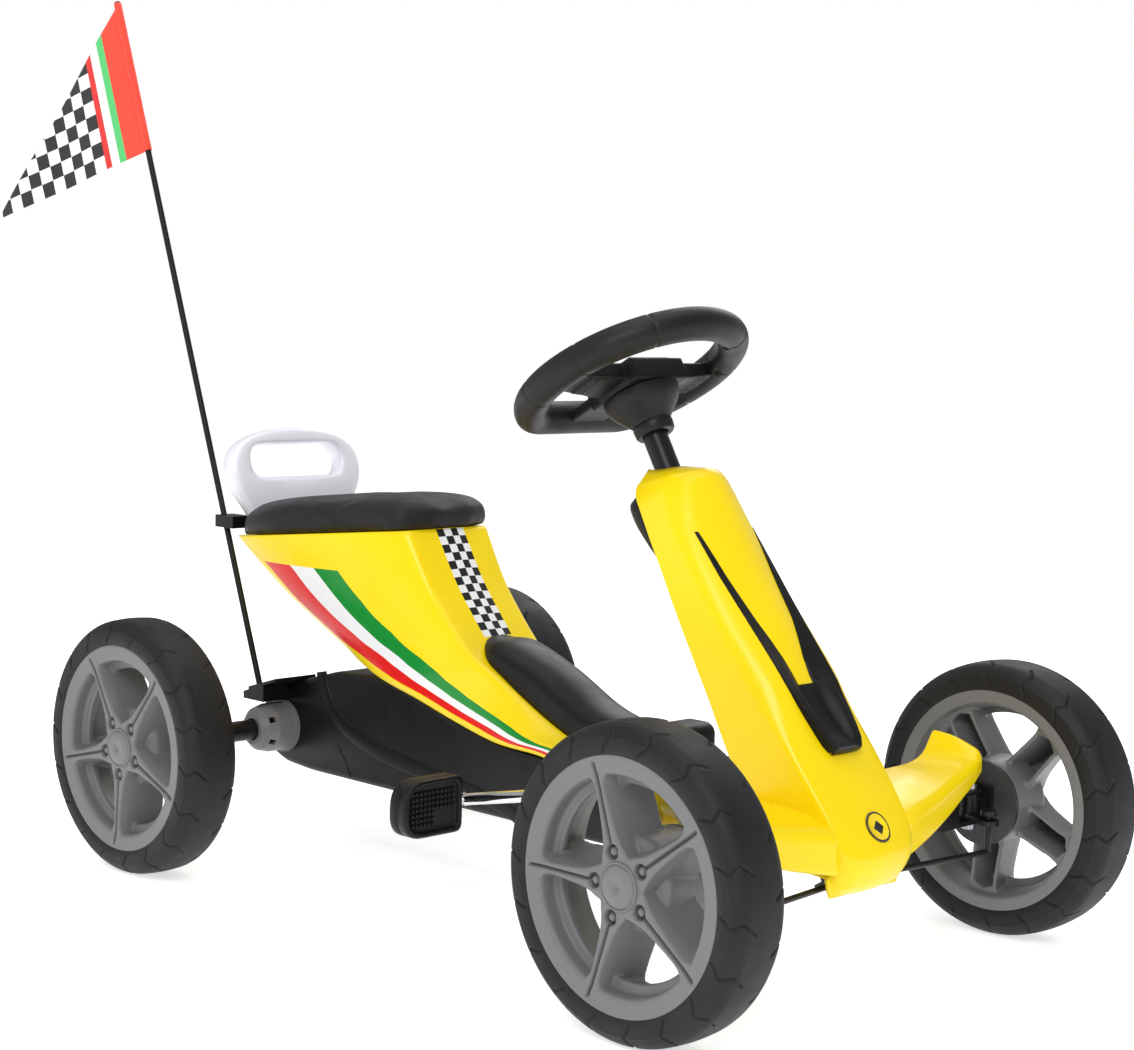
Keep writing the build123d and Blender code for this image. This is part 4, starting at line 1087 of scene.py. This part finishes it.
def fork_wall(s, side, count=9):
    """Rim and inward-facing wall of the fork on one side, from outside to the floor's edge."""
    outer, inner, rim = fork(FORK_OUTER, s), fork(FORK_INNER, s), fork(FORK_RIM, s)
    floor, swell = fork(SCOOP_FLOOR, s), fork(WALL_SWELL, s)
    if s < BLADE_END:
        floor = 0.8 - fork(PANEL_DEPTH, s)
    line = [(outer + 0.5, -3.0), (outer + 0.4, rim - 0.9), (outer + 0.1, rim - 0.3)]
    for t in np.linspace(0, 1, count):
        line.append((outer + (inner - outer) * t,
                     rim + (floor - rim) * t + swell * math.sin(math.pi * t) ** 2))
    return [(side * y, out) for y, out in line]


def build_insert():
    """Black fork let into the shield: two sloped blades that run down into a scoop."""
    parts = []
    for side in (-1, 1):
        rows = []
        for s in np.linspace(BLADE_START, BLADE_END - 0.01, BLADE_ROWS):
            line = fork_wall(s, side)
            inner, low = line[-1]
            line.append((inner - side * 0.3, low - 1.6))
            rows.append([tuple(shield_point(y, s, out)) for y, out in line])
        parts.append(lofted(rows, closed=False, caps=False))
    rows = []
    for s in np.linspace(BLADE_END, SCOOP_END, SCOOP_ROWS):
        left = fork_wall(s, 1)
        inner, low = left[-1]
        floor = [(inner * (1 - t), low) for t in np.linspace(0, 1, 6)[1:]]
        half = left + floor
        rows.append([tuple(shield_point(y, s, out))
                     for y, out in half + [(-y, out) for y, out in half[::-1][1:]]])
    top = [tuple(shield_point(p[1], BLADE_END - 0.4, SCOOP_BACK)) for p in rows[0]]
    last, end = rows[-1], []
    for drop, share in LIP:
        ring = []
        for k, p in enumerate(last):
            high = LIP_HIGH if 3 <= k < len(last) - 3 else LIP_CORNER
            q = shield_point(p[1] * (0.99 - drop * 0.02), SCOOP_END + drop, 0.0)
            ring.append(tuple(q + SHIELD_OUT * (share * high)))
        end.append(ring)
    parts.append(lofted([top] + rows + end, closed=False, caps=False))
    obj = mesh_object("fairing_insert_fork", *joined(*parts))
    obj.data.set_sharp_from_angle(angle=math.radians(60))
    finished(obj, "chassis", "fairing_insert", M["black_plastic"])


BADGE_S = 313.0
# The badge's rings from its foot to its middle: radius and height over the shield.
BADGE_RINGS = [(13.0, -0.6), (13.0, 0.7), (12.4, 1.1), (11.4, 1.1), (11.0, 0.8), (0.05, 0.8)]
BADGE_BORDER, DIAMOND_HALF, BADGE_STRETCH = 0.0112, 0.0062, 1.19


def build_badge():
    """Plain round badge: a dark ring round a pale disc with a small square set on its corner."""
    rings = []
    for r, out in BADGE_RINGS:
        rings.append([tuple(shield_point(r * math.sin(a), BADGE_S + r * math.cos(a), out))
                      for a in np.linspace(0, 2 * math.pi, 64, endpoint=False)])
    obj = mesh_object("nose_badge", *lofted(rings))
    n = Nodes("badge_paint")
    middle = shield_point(0, BADGE_S, 0)
    offset = n.add("ShaderNodeVectorMath", operation="SUBTRACT")
    n.link(n.spot, offset.inputs[0])
    offset.inputs[1].default_value = place(middle)
    size = n.add("ShaderNodeVectorMath", operation="LENGTH")
    n.link(offset.outputs[0], size.inputs[0])
    parts = n.add("ShaderNodeSeparateXYZ")
    n.link(offset.outputs[0], parts.inputs[0])
    tilted = n.maths("ADD", n.maths("ABSOLUTE", parts.outputs["Y"]),
                     n.maths("MULTIPLY", n.maths("ABSOLUTE", parts.outputs["Z"]),
                             BADGE_STRETCH))
    diamond = n.maths("LESS_THAN", tilted, DIAMOND_HALF)
    ring_mask = n.maths("GREATER_THAN", size.outputs["Value"], BADGE_BORDER)
    colour = n.mix(diamond, YELLOW, INK)
    colour = n.mix(ring_mask, colour, srgb(60, 48, 20))
    obj.data.materials.append(finish_surface(n, colour, 0.25, 900.0, 0.00003, coat=0.3))
    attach(obj, "chassis")


# Column cover: height, rear edge, reach behind it and half width.
COVER_RINGS = [(378, 464, 22, 38), (370, 469, 34, 41), (356, 478, 34, 43), (340, 489, 27, 44),
               (326, 498, 19, 44), (301, 513, 18, 46), (222, 560, 18, 46), (196, 574, 16, 44)]
COVER_ROWS, COVER_SIDES, COVER_SQUARE = 50, 25, 0.8


def build_column_cover():
    """Black channel behind the shield, rounded like a spine."""
    sections = []
    for z, rear, reach, half in smooth_line(COVER_RINGS, COVER_ROWS):
        ring = []
        for a in np.linspace(-math.pi / 2, math.pi / 2, COVER_SIDES):
            c, s = math.cos(a), math.sin(a)
            across = half * math.copysign(abs(s) ** COVER_SQUARE, s)
            ring.append((rear + 1 - (reach + 1) * c ** COVER_SQUARE, across, z))
        sections.append(ring)
    end = [tuple(np.array(p) * [1, 0.9, 1] + [4, 0, 3]) for p in sections[0]]
    obj = mesh_object("column_cover_shell", *lofted([end] + sections, closed=False, caps=False))
    modifier(obj, "SOLIDIFY", thickness=COVER_THICK, offset=-1.0)
    finished(obj, "chassis", "column_cover", M["black_plastic"])


WING = [
    # distance from the middle, front face, lower edge, top at the front, top at the rear, rear edge
    (40, 690, 98, 133, 148, 603), (52, 690, 101, 134.5, 150, 604), (90, 682, 109, 140, 151, 605),
    (127, 674, 120, 148, 152, 607), (150, 670, 130, 154, 153, 608), (164, 668, 136, 159, 157, 609),
    (172, 667, 141, 162, 163, 610), (177, 666, 144, 165, 172, 611), (181, 665, 146, 167, 179, 611.6),
]
WING_END, WING_ROWS, WING_MIDDLE = 180.6, 56, (639.0, 182.0, 152.0)
# The wing's rolled end: run past its last section and share of that section's size.
WING_CAP = ((1.6, 0.985), (3.0, 0.95), (3.9, 0.90), (4.0, 0.8), (4.0, 0.3))


def build_wings():
    """Shoulders of the shield over the front axle: rolled front edge, ear beside the tyre."""
    lines = smooth_line(WING, WING_ROWS)
    for side, name in ((-1, "right"), (1, "left")):
        sections = []
        for y, front, low, top, back, rear in lines:
            crest = top + (back - top) * 0.7 + 2
            shape = [(front - 3, low), (front, low + 3), (front, top), (front - 30, crest),
                     (rear, back), (rear, back - 20)]
            ring = rounded(shape, [0, 3, 9, 16, 5, 0], 6, closed=False)
            sections.append([(x, side * y, z) for x, z in ring])
        last = np.array(sections[-1])
        middle = np.array(WING_MIDDLE) * [1, side, 1]
        for out, share in WING_CAP:
            ring = middle + (last - middle) * [share, 0, share]
            ring[:, 1] = side * (WING_END + out)
            sections.append([tuple(p) for p in ring])
        obj = mesh_object(f"front_wing_{name}_skin", *lofted(sections, closed=False, caps=False))
        modifier(obj, "SOLIDIFY", thickness=COVER_THICK, offset=-1.0)
        finished(obj, "chassis", f"front_wing_{name}", M["yellow_plastic"])


# ---------------------------------------------------------------- steering wheel
GRIP_R, WHEEL_REACH, FLAT, CORNER_R = 14.5, 93.0, -76.0, 26.0
GRIP_SIDES, GRIP_ROWS, SLOT_BEARING = 40, 420, 2.25
SEAM_TURNS = (0.20, 0.30, 0.41, 0.59, 0.70, 0.80)


def wheel_path(count=GRIP_ROWS):
    """The grip ring's middle line: a circle with a straight run on the driver's side."""
    reach = WHEEL_REACH - CORNER_R
    side = math.sqrt(reach ** 2 - (FLAT + CORNER_R) ** 2)
    start = math.atan2(FLAT + CORNER_R, side)
    path = [(0.0, FLAT)]
    path += [(side + CORNER_R * math.cos(a), FLAT + CORNER_R + CORNER_R * math.sin(a))
             for a in np.linspace(-math.pi / 2, start, 14)]
    path += [(WHEEL_REACH * math.cos(a), WHEEL_REACH * math.sin(a))
             for a in np.linspace(start, math.pi - start, 90)[1:-1]]
    path += [(-x, y) for x, y in path[1:15][::-1]]
    path.append((0.0, FLAT))
    path = np.array(path)
    run = np.concatenate([[0], np.cumsum(np.linalg.norm(np.diff(path, axis=0), axis=1))])
    wanted = np.linspace(0, run[-1], count, endpoint=False)
    return np.column_stack([np.interp(wanted, run, path[:, k]) for k in (0, 1)]), wanted / run[-1]


def build_steering_rim():
    """Moulded grip with pinched seams and small moulding slots underneath."""
    path, share = wheel_path()
    along = np.roll(path, -1, axis=0) - np.roll(path, 1, axis=0)
    along /= np.linalg.norm(along, axis=1)[:, None]
    outward = np.column_stack([along[:, 1], -along[:, 0]])
    length = 2 * math.pi * WHEEL_REACH * 0.93
    points, recess_shade = [], []
    for (across, ahead), (ox, oy), s in zip(path, outward, share):
        gap = min(abs(s - k) for k in SEAM_TURNS) * length
        pinch = 0.9 * max(0.0, 1 - gap / 1.6)
        for k in range(GRIP_SIDES):
            a = 2 * math.pi * k / GRIP_SIDES
            slot = 1.0 if gap < 5.0 and abs(a - SLOT_BEARING) < 0.14 else 0.0
            r = GRIP_R - pinch - 1.6 * slot
            points.append(steer_point(across + ox * r * math.cos(a), ahead + oy * r * math.cos(a),
                                      r * math.sin(a)))
            recess_shade.append(max(slot, pinch * 0.7))
    obj = mesh_object("steering_rim_grip", points, grid_faces(len(path), GRIP_SIDES, True, True))
    float_attribute(obj, "recess_shade", recess_shade)
    n = Nodes("grip_skin")
    # Painted shade: the pinched seams and the slots are darkened as if in shadow.
    colour = n.mix(n.attribute("recess_shade"), srgb(19, 19, 21), srgb(7, 7, 8))
    skin = finish_surface(n, colour, 0.48, 1300.0, 0.00009, specular=0.32,
                                             uneven=0.1)
    finished(obj, "steering", "steering_rim", skin)


def steer_block(across, ahead, depth, ahead_far=None, depth_far=None):
    """A block in the steering wheel's axes; the far end may have its own ahead and depth."""
    ahead_far, depth_far = ahead_far or ahead, depth_far or depth
    sections = []
    for a, (h0, h1), (d0, d1) in ((across[0], ahead, depth), (across[1], ahead_far, depth_far)):
        sections.append([steer_point(a, h0, d0), steer_point(a, h1, d0), steer_point(a, h1, d1),
                         steer_point(a, h0, d1)])
    return lofted(sections)


# The hub's blocks: reach across, ahead and down the column; the arms' pairs end at their far side.
HUB_BLOCKS = [((-33, 33), (-28, 33), (-1, 19)), ((-26, 26), (-20, 27), (-5, 4)),
              ((-21, 21), (-72, -22), (1, 10)), ((-15, 15), (-70, -30), (-1, 4))]
HUB_ARMS = [((28, 90), (-16, 23), (-1, 15), (-8, 20), (-3, 9)),
            ((30, 72), (-6, 12), (-5, 2), (-3, 10), (-5, 0))]
HUB_RIBS, RIB_START, RIB_STEP, RIB_WIDE, HUB_VOXEL = 6, 44, 5, 2.2, 0.0012


def build_steering_hub():
    """Boss, side arms and lower arm, melted together as one moulding."""
    parts = [steer_block(*block) for block in HUB_BLOCKS]
    for side in (-1, 1):
        for (near, far), *rest in HUB_ARMS:
            parts.append(steer_block((side * near, side * far), *rest))
        for rib in range(HUB_RIBS):
            at = side * (RIB_START + rib * RIB_STEP)
            parts.append(steer_block((at, at + side * RIB_WIDE), (-9, 19), (8, 13.4)))
    obj = mesh_object("steering_hub_boss", *joined(*parts))
    modifier(obj, "REMESH", mode="VOXEL", voxel_size=HUB_VOXEL, use_smooth_shade=True)
    modifier(obj, "SMOOTH", factor=0.5, iterations=8)
    applied(obj)
    finished(obj, "steering", "steering_hub", M["grip_plastic"])


BOWL_PROFILE = [(20.2, 33.6), (24, 33.4), (29, 31.6), (33, 29.0), (38, 24.8), (43, 20.4),
                (46, 18.0), (47.4, 17.2), (48.4, 17.6), (50, 17.9), (56, 17.4), (58, 16.0),
                (58, 11.3), (20.2, 11.3)]
SCREW_BEARING, SCREW_DEPTH, SCREW_R = math.radians(215), 36, 4.2
BOWL_STEPS = 96


def build_bowl():
    """Cup and collar under the boss, with a dark disc of painted shade on its side where a sunk clamp
    screw sits.
    """
    points, recess_shade = [], []
    for k in range(BOWL_STEPS):
        a = 2 * math.pi * k / BOWL_STEPS
        for depth, r in BOWL_PROFILE:
            points.append(steer_point(r * math.cos(a), 2 + r * math.sin(a), depth))
            away = math.hypot((a - SCREW_BEARING) * 26, (depth - SCREW_DEPTH) * 1.25)
            recess_shade.append(1.0 if away < SCREW_R else 0.0)
    obj = mesh_object("steering_bowl_cup", points,
                      grid_faces(BOWL_STEPS, len(BOWL_PROFILE), True, True))
    obj.data.set_sharp_from_angle(angle=math.radians(50))
    float_attribute(obj, "recess_shade", recess_shade)
    n = Nodes("bowl_skin")
    # Painted shade: a dark disc where the sunk clamp screw's hole would lie in shadow.
    colour = n.mix(n.attribute("recess_shade"), srgb(19, 19, 21), srgb(7, 7, 8))
    skin = finish_surface(n, colour, 0.46, 1300.0, 0.00009, specular=0.32,
                                             uneven=0.1)
    finished(obj, "steering", "steering_bowl", skin)


# ---------------------------------------------------------------- pedals
PEDAL_LONG, PEDAL_TALL = 66.0, 50.0


def build_pedals():
    """Block pedals with a rounded outer end, a raised border and a field of small studs."""
    for side, name in ((-1, "pedal_right"), (1, "pedal_left")):
        low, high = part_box(name)
        middle = (low + high) / 2
        long_half, tall_half = PEDAL_LONG / 2, PEDAL_TALL / 2
        outline = rounded([(-long_half, -tall_half), (long_half, -tall_half),
                           (long_half, tall_half), (-long_half, tall_half)],
                          [8, 20, 24, 8], 8)
        outline = np.array(outline)
        sections = []
        for inset, x in ((10.0, 6.6), (6.6, 6.6), (5.2, 7.0), (4.8, 8.0), (4.6, 9.4), (4.0, 10.4),
                         (3.0, 11.0), (1.6, 10.8), (0.5, 10.0), (0.0, 8.6), (0.0, 1.2), (0.7, 0.5),
                         (0.7, -0.5), (0.0, -1.2), (0.0, -8.6), (0.5, -10.0), (1.6, -10.8),
                         (3.0, -11.0), (4.0, -10.4), (4.6, -9.4), (4.8, -8.0), (5.2, -7.0),
                         (6.6, -6.6), (10.0, -6.6)):
            scale = 1 - inset / np.array([long_half, tall_half])
            sections.append([(x, side * y, z) for y, z in outline * scale])
        parts = [lofted(sections)]
        for face in (-1, 1):
            for row in range(7):
                for column in range(11):
                    y, z = -24 + column * 4.6, -14 + row * 4.6
                    if row < 3 and column < 5:
                        continue
                    base = [(y - 1.6, z - 1.6), (y + 1.6, z - 1.6), (y + 1.6, z + 1.6),
                            (y - 1.6, z + 1.6)]
                    stud = []
                    for grow, x in ((1.0, 6.2), (1.0, 8.0), (0.6, 8.8)):
                        stud.append([(face * x, side * (y + (p - y) * grow), z + (q - z) * grow)
                                     for p, q in base])
                    parts.append(lofted(stud))
        points, faces = joined(*parts)
        obj = mesh_object(name + "_block", points, faces, local=True)
        obj.data.set_sharp_from_angle(angle=math.radians(55))
        obj.location = middle
        finished(obj, name, name, M["black_plastic"])


# ---------------------------------------------------------------- flag
POLE_FOOT, POLE_TOP = np.array([-9.6, -75, 148.0]), np.array([-270, -75, 846.0])
FLAG_LOW_Z, FLAG_TIP = 691.0, np.array([-413.0, -130.0, 620.0])
SLEEVE_R = 4.2
BANDS = [(-9.0, 29.0, srgb(240, 66, 44)), (29.0, 38.0, srgb(84, 200, 112)), (38.0, 49.0, WHITE),
         (49.0, 57.0, srgb(222, 40, 34))]
FLAG_CELL, FLAG_BANDS_END = 15.4, 57.0
FLAG_ROWS, FLAG_COLUMNS = 72, 44
RIPPLE, RIPPLE_LONG, SLEEVE_GAP = 2.6, 26.0, 3.6


def build_flag():
    """Pennant cloth in a sleeve on the pole, with soft ripples towards its tip."""
    share = (FLAG_LOW_Z - POLE_FOOT[2]) / (POLE_TOP[2] - POLE_FOOT[2])
    low = POLE_FOOT + (POLE_TOP - POLE_FOOT) * share
    along = (POLE_TOP - low) / np.linalg.norm(POLE_TOP - low)
    high = POLE_TOP - along * 6
    normal = np.cross(along, FLAG_TIP - low)
    normal /= np.linalg.norm(normal)
    out = np.cross(normal, along)
    out *= math.copysign(1, float(out @ (FLAG_TIP - low)))
    low, high = low + out * SLEEVE_GAP, high + out * SLEEVE_GAP
    points, away, rise = [], [], []
    lower = (FLAG_TIP - low) / np.linalg.norm(FLAG_TIP - low)
    square = along - lower * float(along @ lower)
    square /= np.linalg.norm(square)
    for r in range(FLAG_ROWS + 1):
        t = min(r / FLAG_ROWS, 0.996)
        for c in range(FLAG_COLUMNS + 1):
            v = c / FLAG_COLUMNS
            p = low * (1 - v) + high * v
            p = p + (FLAG_TIP - p) * t
            d = float((p - low) @ out) + SLEEVE_GAP
            away.append(d)
            rise.append(float((p - low) @ square))
            wave = RIPPLE * math.sin(d / RIPPLE_LONG + 0.9 * v) * min(1.0, t * 2.2) * (1 - 0.55 * t)
            points.append(tuple(p + normal * (0.4 + wave)))
    obj = mesh_object("flag_cloth", points, grid_faces(FLAG_ROWS + 1, FLAG_COLUMNS + 1))
    float_attribute(obj, "away", away)
    float_attribute(obj, "rise", rise)
    modifier(obj, "SOLIDIFY", thickness=CLOTH_THICK, offset=0.0)
    obj.data.materials.append(flag_material())
    tube = []
    for share in np.linspace(0, 1, 24):
        middle = low - out * SLEEVE_GAP + along * (share * (np.linalg.norm(POLE_TOP - low) - 1.5))
        side = np.cross(along, out)
        fold = 0.25 * math.sin(share * 40)
        tube.append([tuple(middle + (out * math.cos(a) + side * math.sin(a))
                           * (SLEEVE_R - 0.2 + fold * math.cos(3 * a)))
                     for a in np.linspace(0, 2 * math.pi, 28, endpoint=False)])
    sleeve = mesh_object("flag_sleeve", *lofted(tube))
    sleeve.data.materials.append(weave("sleeve_cloth", srgb(240, 66, 44)))
    for part in (obj, sleeve):
        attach(part, "chassis")
    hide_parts("flag")


def woven(n, colour):
    """Thin polyester: crossing threads in tone and height."""
    waves = []
    for direction in ("X", "Z"):
        wave = n.add("ShaderNodeTexWave", bands_direction=direction)
        n.link(n.spot, wave.inputs["Vector"])
        wave.inputs["Scale"].default_value = 420.0
        wave.inputs["Distortion"].default_value = 0.6
        waves.append(wave.outputs["Fac"])
    threads = n.maths("MULTIPLY", waves[0], waves[1])
    made = n.mix(n.range(threads, 0.0, 1.0, 0.0, 0.10), colour, (0.0, 0.0, 0.0, 1.0))
    n.link(made, n.shader.inputs["Base Color"])
    n.link(n.range(n.noise(60.0), 0.3, 0.7, 0.6, 0.75), n.shader.inputs["Roughness"])
    n.link(n.bump(threads, 0.00008), n.shader.inputs["Normal"])
    n.shader.inputs["Sheen Weight"].default_value = 0.15
    return n.material


def weave(name, colour):
    """Plain cloth of one colour."""
    return woven(Nodes(name), colour)


def flag_material():
    """Bands beside the pole, then chequers in rows along the lower edge."""
    n = Nodes("flag_print")
    away, rise = n.attribute("away"), n.attribute("rise")
    cells = n.maths("ADD", n.maths("FLOOR", n.maths("DIVIDE", n.maths("SUBTRACT", away, FLAG_BANDS_END),
                                                    FLAG_CELL)),
                    n.maths("FLOOR", n.maths("DIVIDE", n.maths("ADD", rise, 500 * FLAG_CELL),
                                             FLAG_CELL)))
    odd = n.maths("PINGPONG", cells, 1.0)
    colour = n.mix(odd, WHITE, INK)
    for start, end, paint in BANDS:
        inside = n.maths("MULTIPLY", n.maths("GREATER_THAN", away, start),
                         n.maths("LESS_THAN", away, end))
        colour = n.mix(inside, colour, paint)
    return woven(n, colour)


build_seat_shell()
build_seat_pad()
build_handle()
build_spine()
build_case()
build_fairing()
build_insert()
build_badge()
build_column_cover()
build_wings()
build_steering_rim()
build_steering_hub()
build_bowl()
build_pedals()
build_flag()


# ---------------------------------------------------------------- stage
FLOOR_HALF, FLOOR_GLOW, WORLD_GLOW = 12.0, 0.64, 0.42
# Name, place, aim, width in metres and power in watts.
LIGHTS = (("key", (2.2, -2.6, 2.6), (0.1, 0, 0.25), 1.6, 60.0),
          ("fill", (-1.8, -3.0, 1.6), (0, 0, 0.25), 2.2, 20.0),
          ("rim", (-1.2, 2.8, 2.4), (0, 0, 0.3), 1.8, 32.0),
          ("top", (0.2, 0.0, 3.4), (0, 0, 0.2), 2.6, 40.0))


def stage():
    """Pale floor and soft white lights all round."""
    n = Nodes("studio_floor")
    tone = n.mix(n.range(n.noise(1.5, 3.0), 0.3, 0.7), srgb(244, 244, 244), srgb(248, 248, 248))
    n.link(tone, n.shader.inputs["Base Color"])
    n.shader.inputs["Roughness"].default_value = 0.9
    n.shader.inputs["Emission Color"].default_value = (1.0, 1.0, 1.0, 1.0)
    n.shader.inputs["Emission Strength"].default_value = FLOOR_GLOW
    mesh = bpy.data.meshes.new("floor")
    corners = [(x * FLOOR_HALF, y * FLOOR_HALF, 0) for x, y in ((-1, -1), (1, -1), (1, 1), (-1, 1))]
    mesh.from_pydata(corners, [], [(0, 1, 2, 3)])
    floor = bpy.data.objects.new("floor", mesh)
    bpy.context.scene.collection.objects.link(floor)
    mesh.materials.append(n.material)

    world = bpy.data.worlds.new("studio")
    world.use_nodes = True
    tree = world.node_tree
    lit = tree.nodes["Background"]
    lit.inputs["Color"].default_value = (1.0, 1.0, 1.0, 1.0)
    lit.inputs["Strength"].default_value = WORLD_GLOW
    seen = tree.nodes.new("ShaderNodeBackground")
    seen.inputs["Color"].default_value = (1.0, 1.0, 1.0, 1.0)
    either = tree.nodes.new("ShaderNodeMixShader")
    tree.links.new(tree.nodes.new("ShaderNodeLightPath").outputs["Is Camera Ray"], either.inputs[0])
    tree.links.new(lit.outputs[0], either.inputs[1])
    tree.links.new(seen.outputs[0], either.inputs[2])
    tree.links.new(either.outputs[0], tree.nodes["World Output"].inputs["Surface"])
    bpy.context.scene.world = world
    for name, spot, target, width, power in LIGHTS:
        data = bpy.data.lights.new(name, "AREA")
        data.shape, data.size, data.energy = "SQUARE", width, power
        light = bpy.data.objects.new(name, data)
        light.location = spot
        light.rotation_euler = (Vector(target) - Vector(spot)).to_track_quat("-Z", "Y").to_euler()
        bpy.context.scene.collection.objects.link(light)
    bpy.context.scene.view_settings.view_transform = "Standard"


# The photo's view: place, yaw, pitch and roll in degrees, and the lens on a 36 mm wide
# sensor, from a focal length of 2238.6 pixels on a frame 1134 pixels wide.
CAMERA_AT, CAMERA_TURN = (1752.1, -1408.9, 530.4), (135.13, -5.32, 1.29)
SENSOR_WIDTH, LENS = 36.0, 36.0 * 2238.6 / 1134


def camera():
    """The photo's view: place, direction and lens."""
    yaw, pitch, roll = (math.radians(a) for a in CAMERA_TURN)
    ahead = Vector((math.cos(yaw) * math.cos(pitch), math.sin(yaw) * math.cos(pitch),
                    math.sin(pitch)))
    right = ahead.cross(Vector((0, 0, 1))).normalized()
    up = right.cross(ahead)
    turned_right = right * math.cos(roll) + up * math.sin(roll)
    turned_up = up * math.cos(roll) - right * math.sin(roll)
    data = bpy.data.cameras.new("camera")
    data.sensor_width, data.lens = SENSOR_WIDTH, LENS
    data.clip_end = 60.0
    obj = bpy.data.objects.new("camera", data)
    obj.matrix_world = Matrix.Translation(place(CAMERA_AT)) @ Matrix(
        (turned_right, turned_up, -ahead)).transposed().to_4x4()
    bpy.context.scene.collection.objects.link(obj)
    bpy.context.scene.camera = obj


stage()
camera()


# ---------------------------------------------------------------- finishes of the CAD parts
def finish_nodes():
    """Each CAD part that stays in view takes the finish of its material slot."""
    slots = {part["node"]: part["material_slot"] for part in frame["record"]["subparts"]}
    for name, obj in NODES.items():
        obj.data.materials.clear()
        obj.data.materials.append(M.get(slots[name], M["black_plastic"]))


finish_nodes()
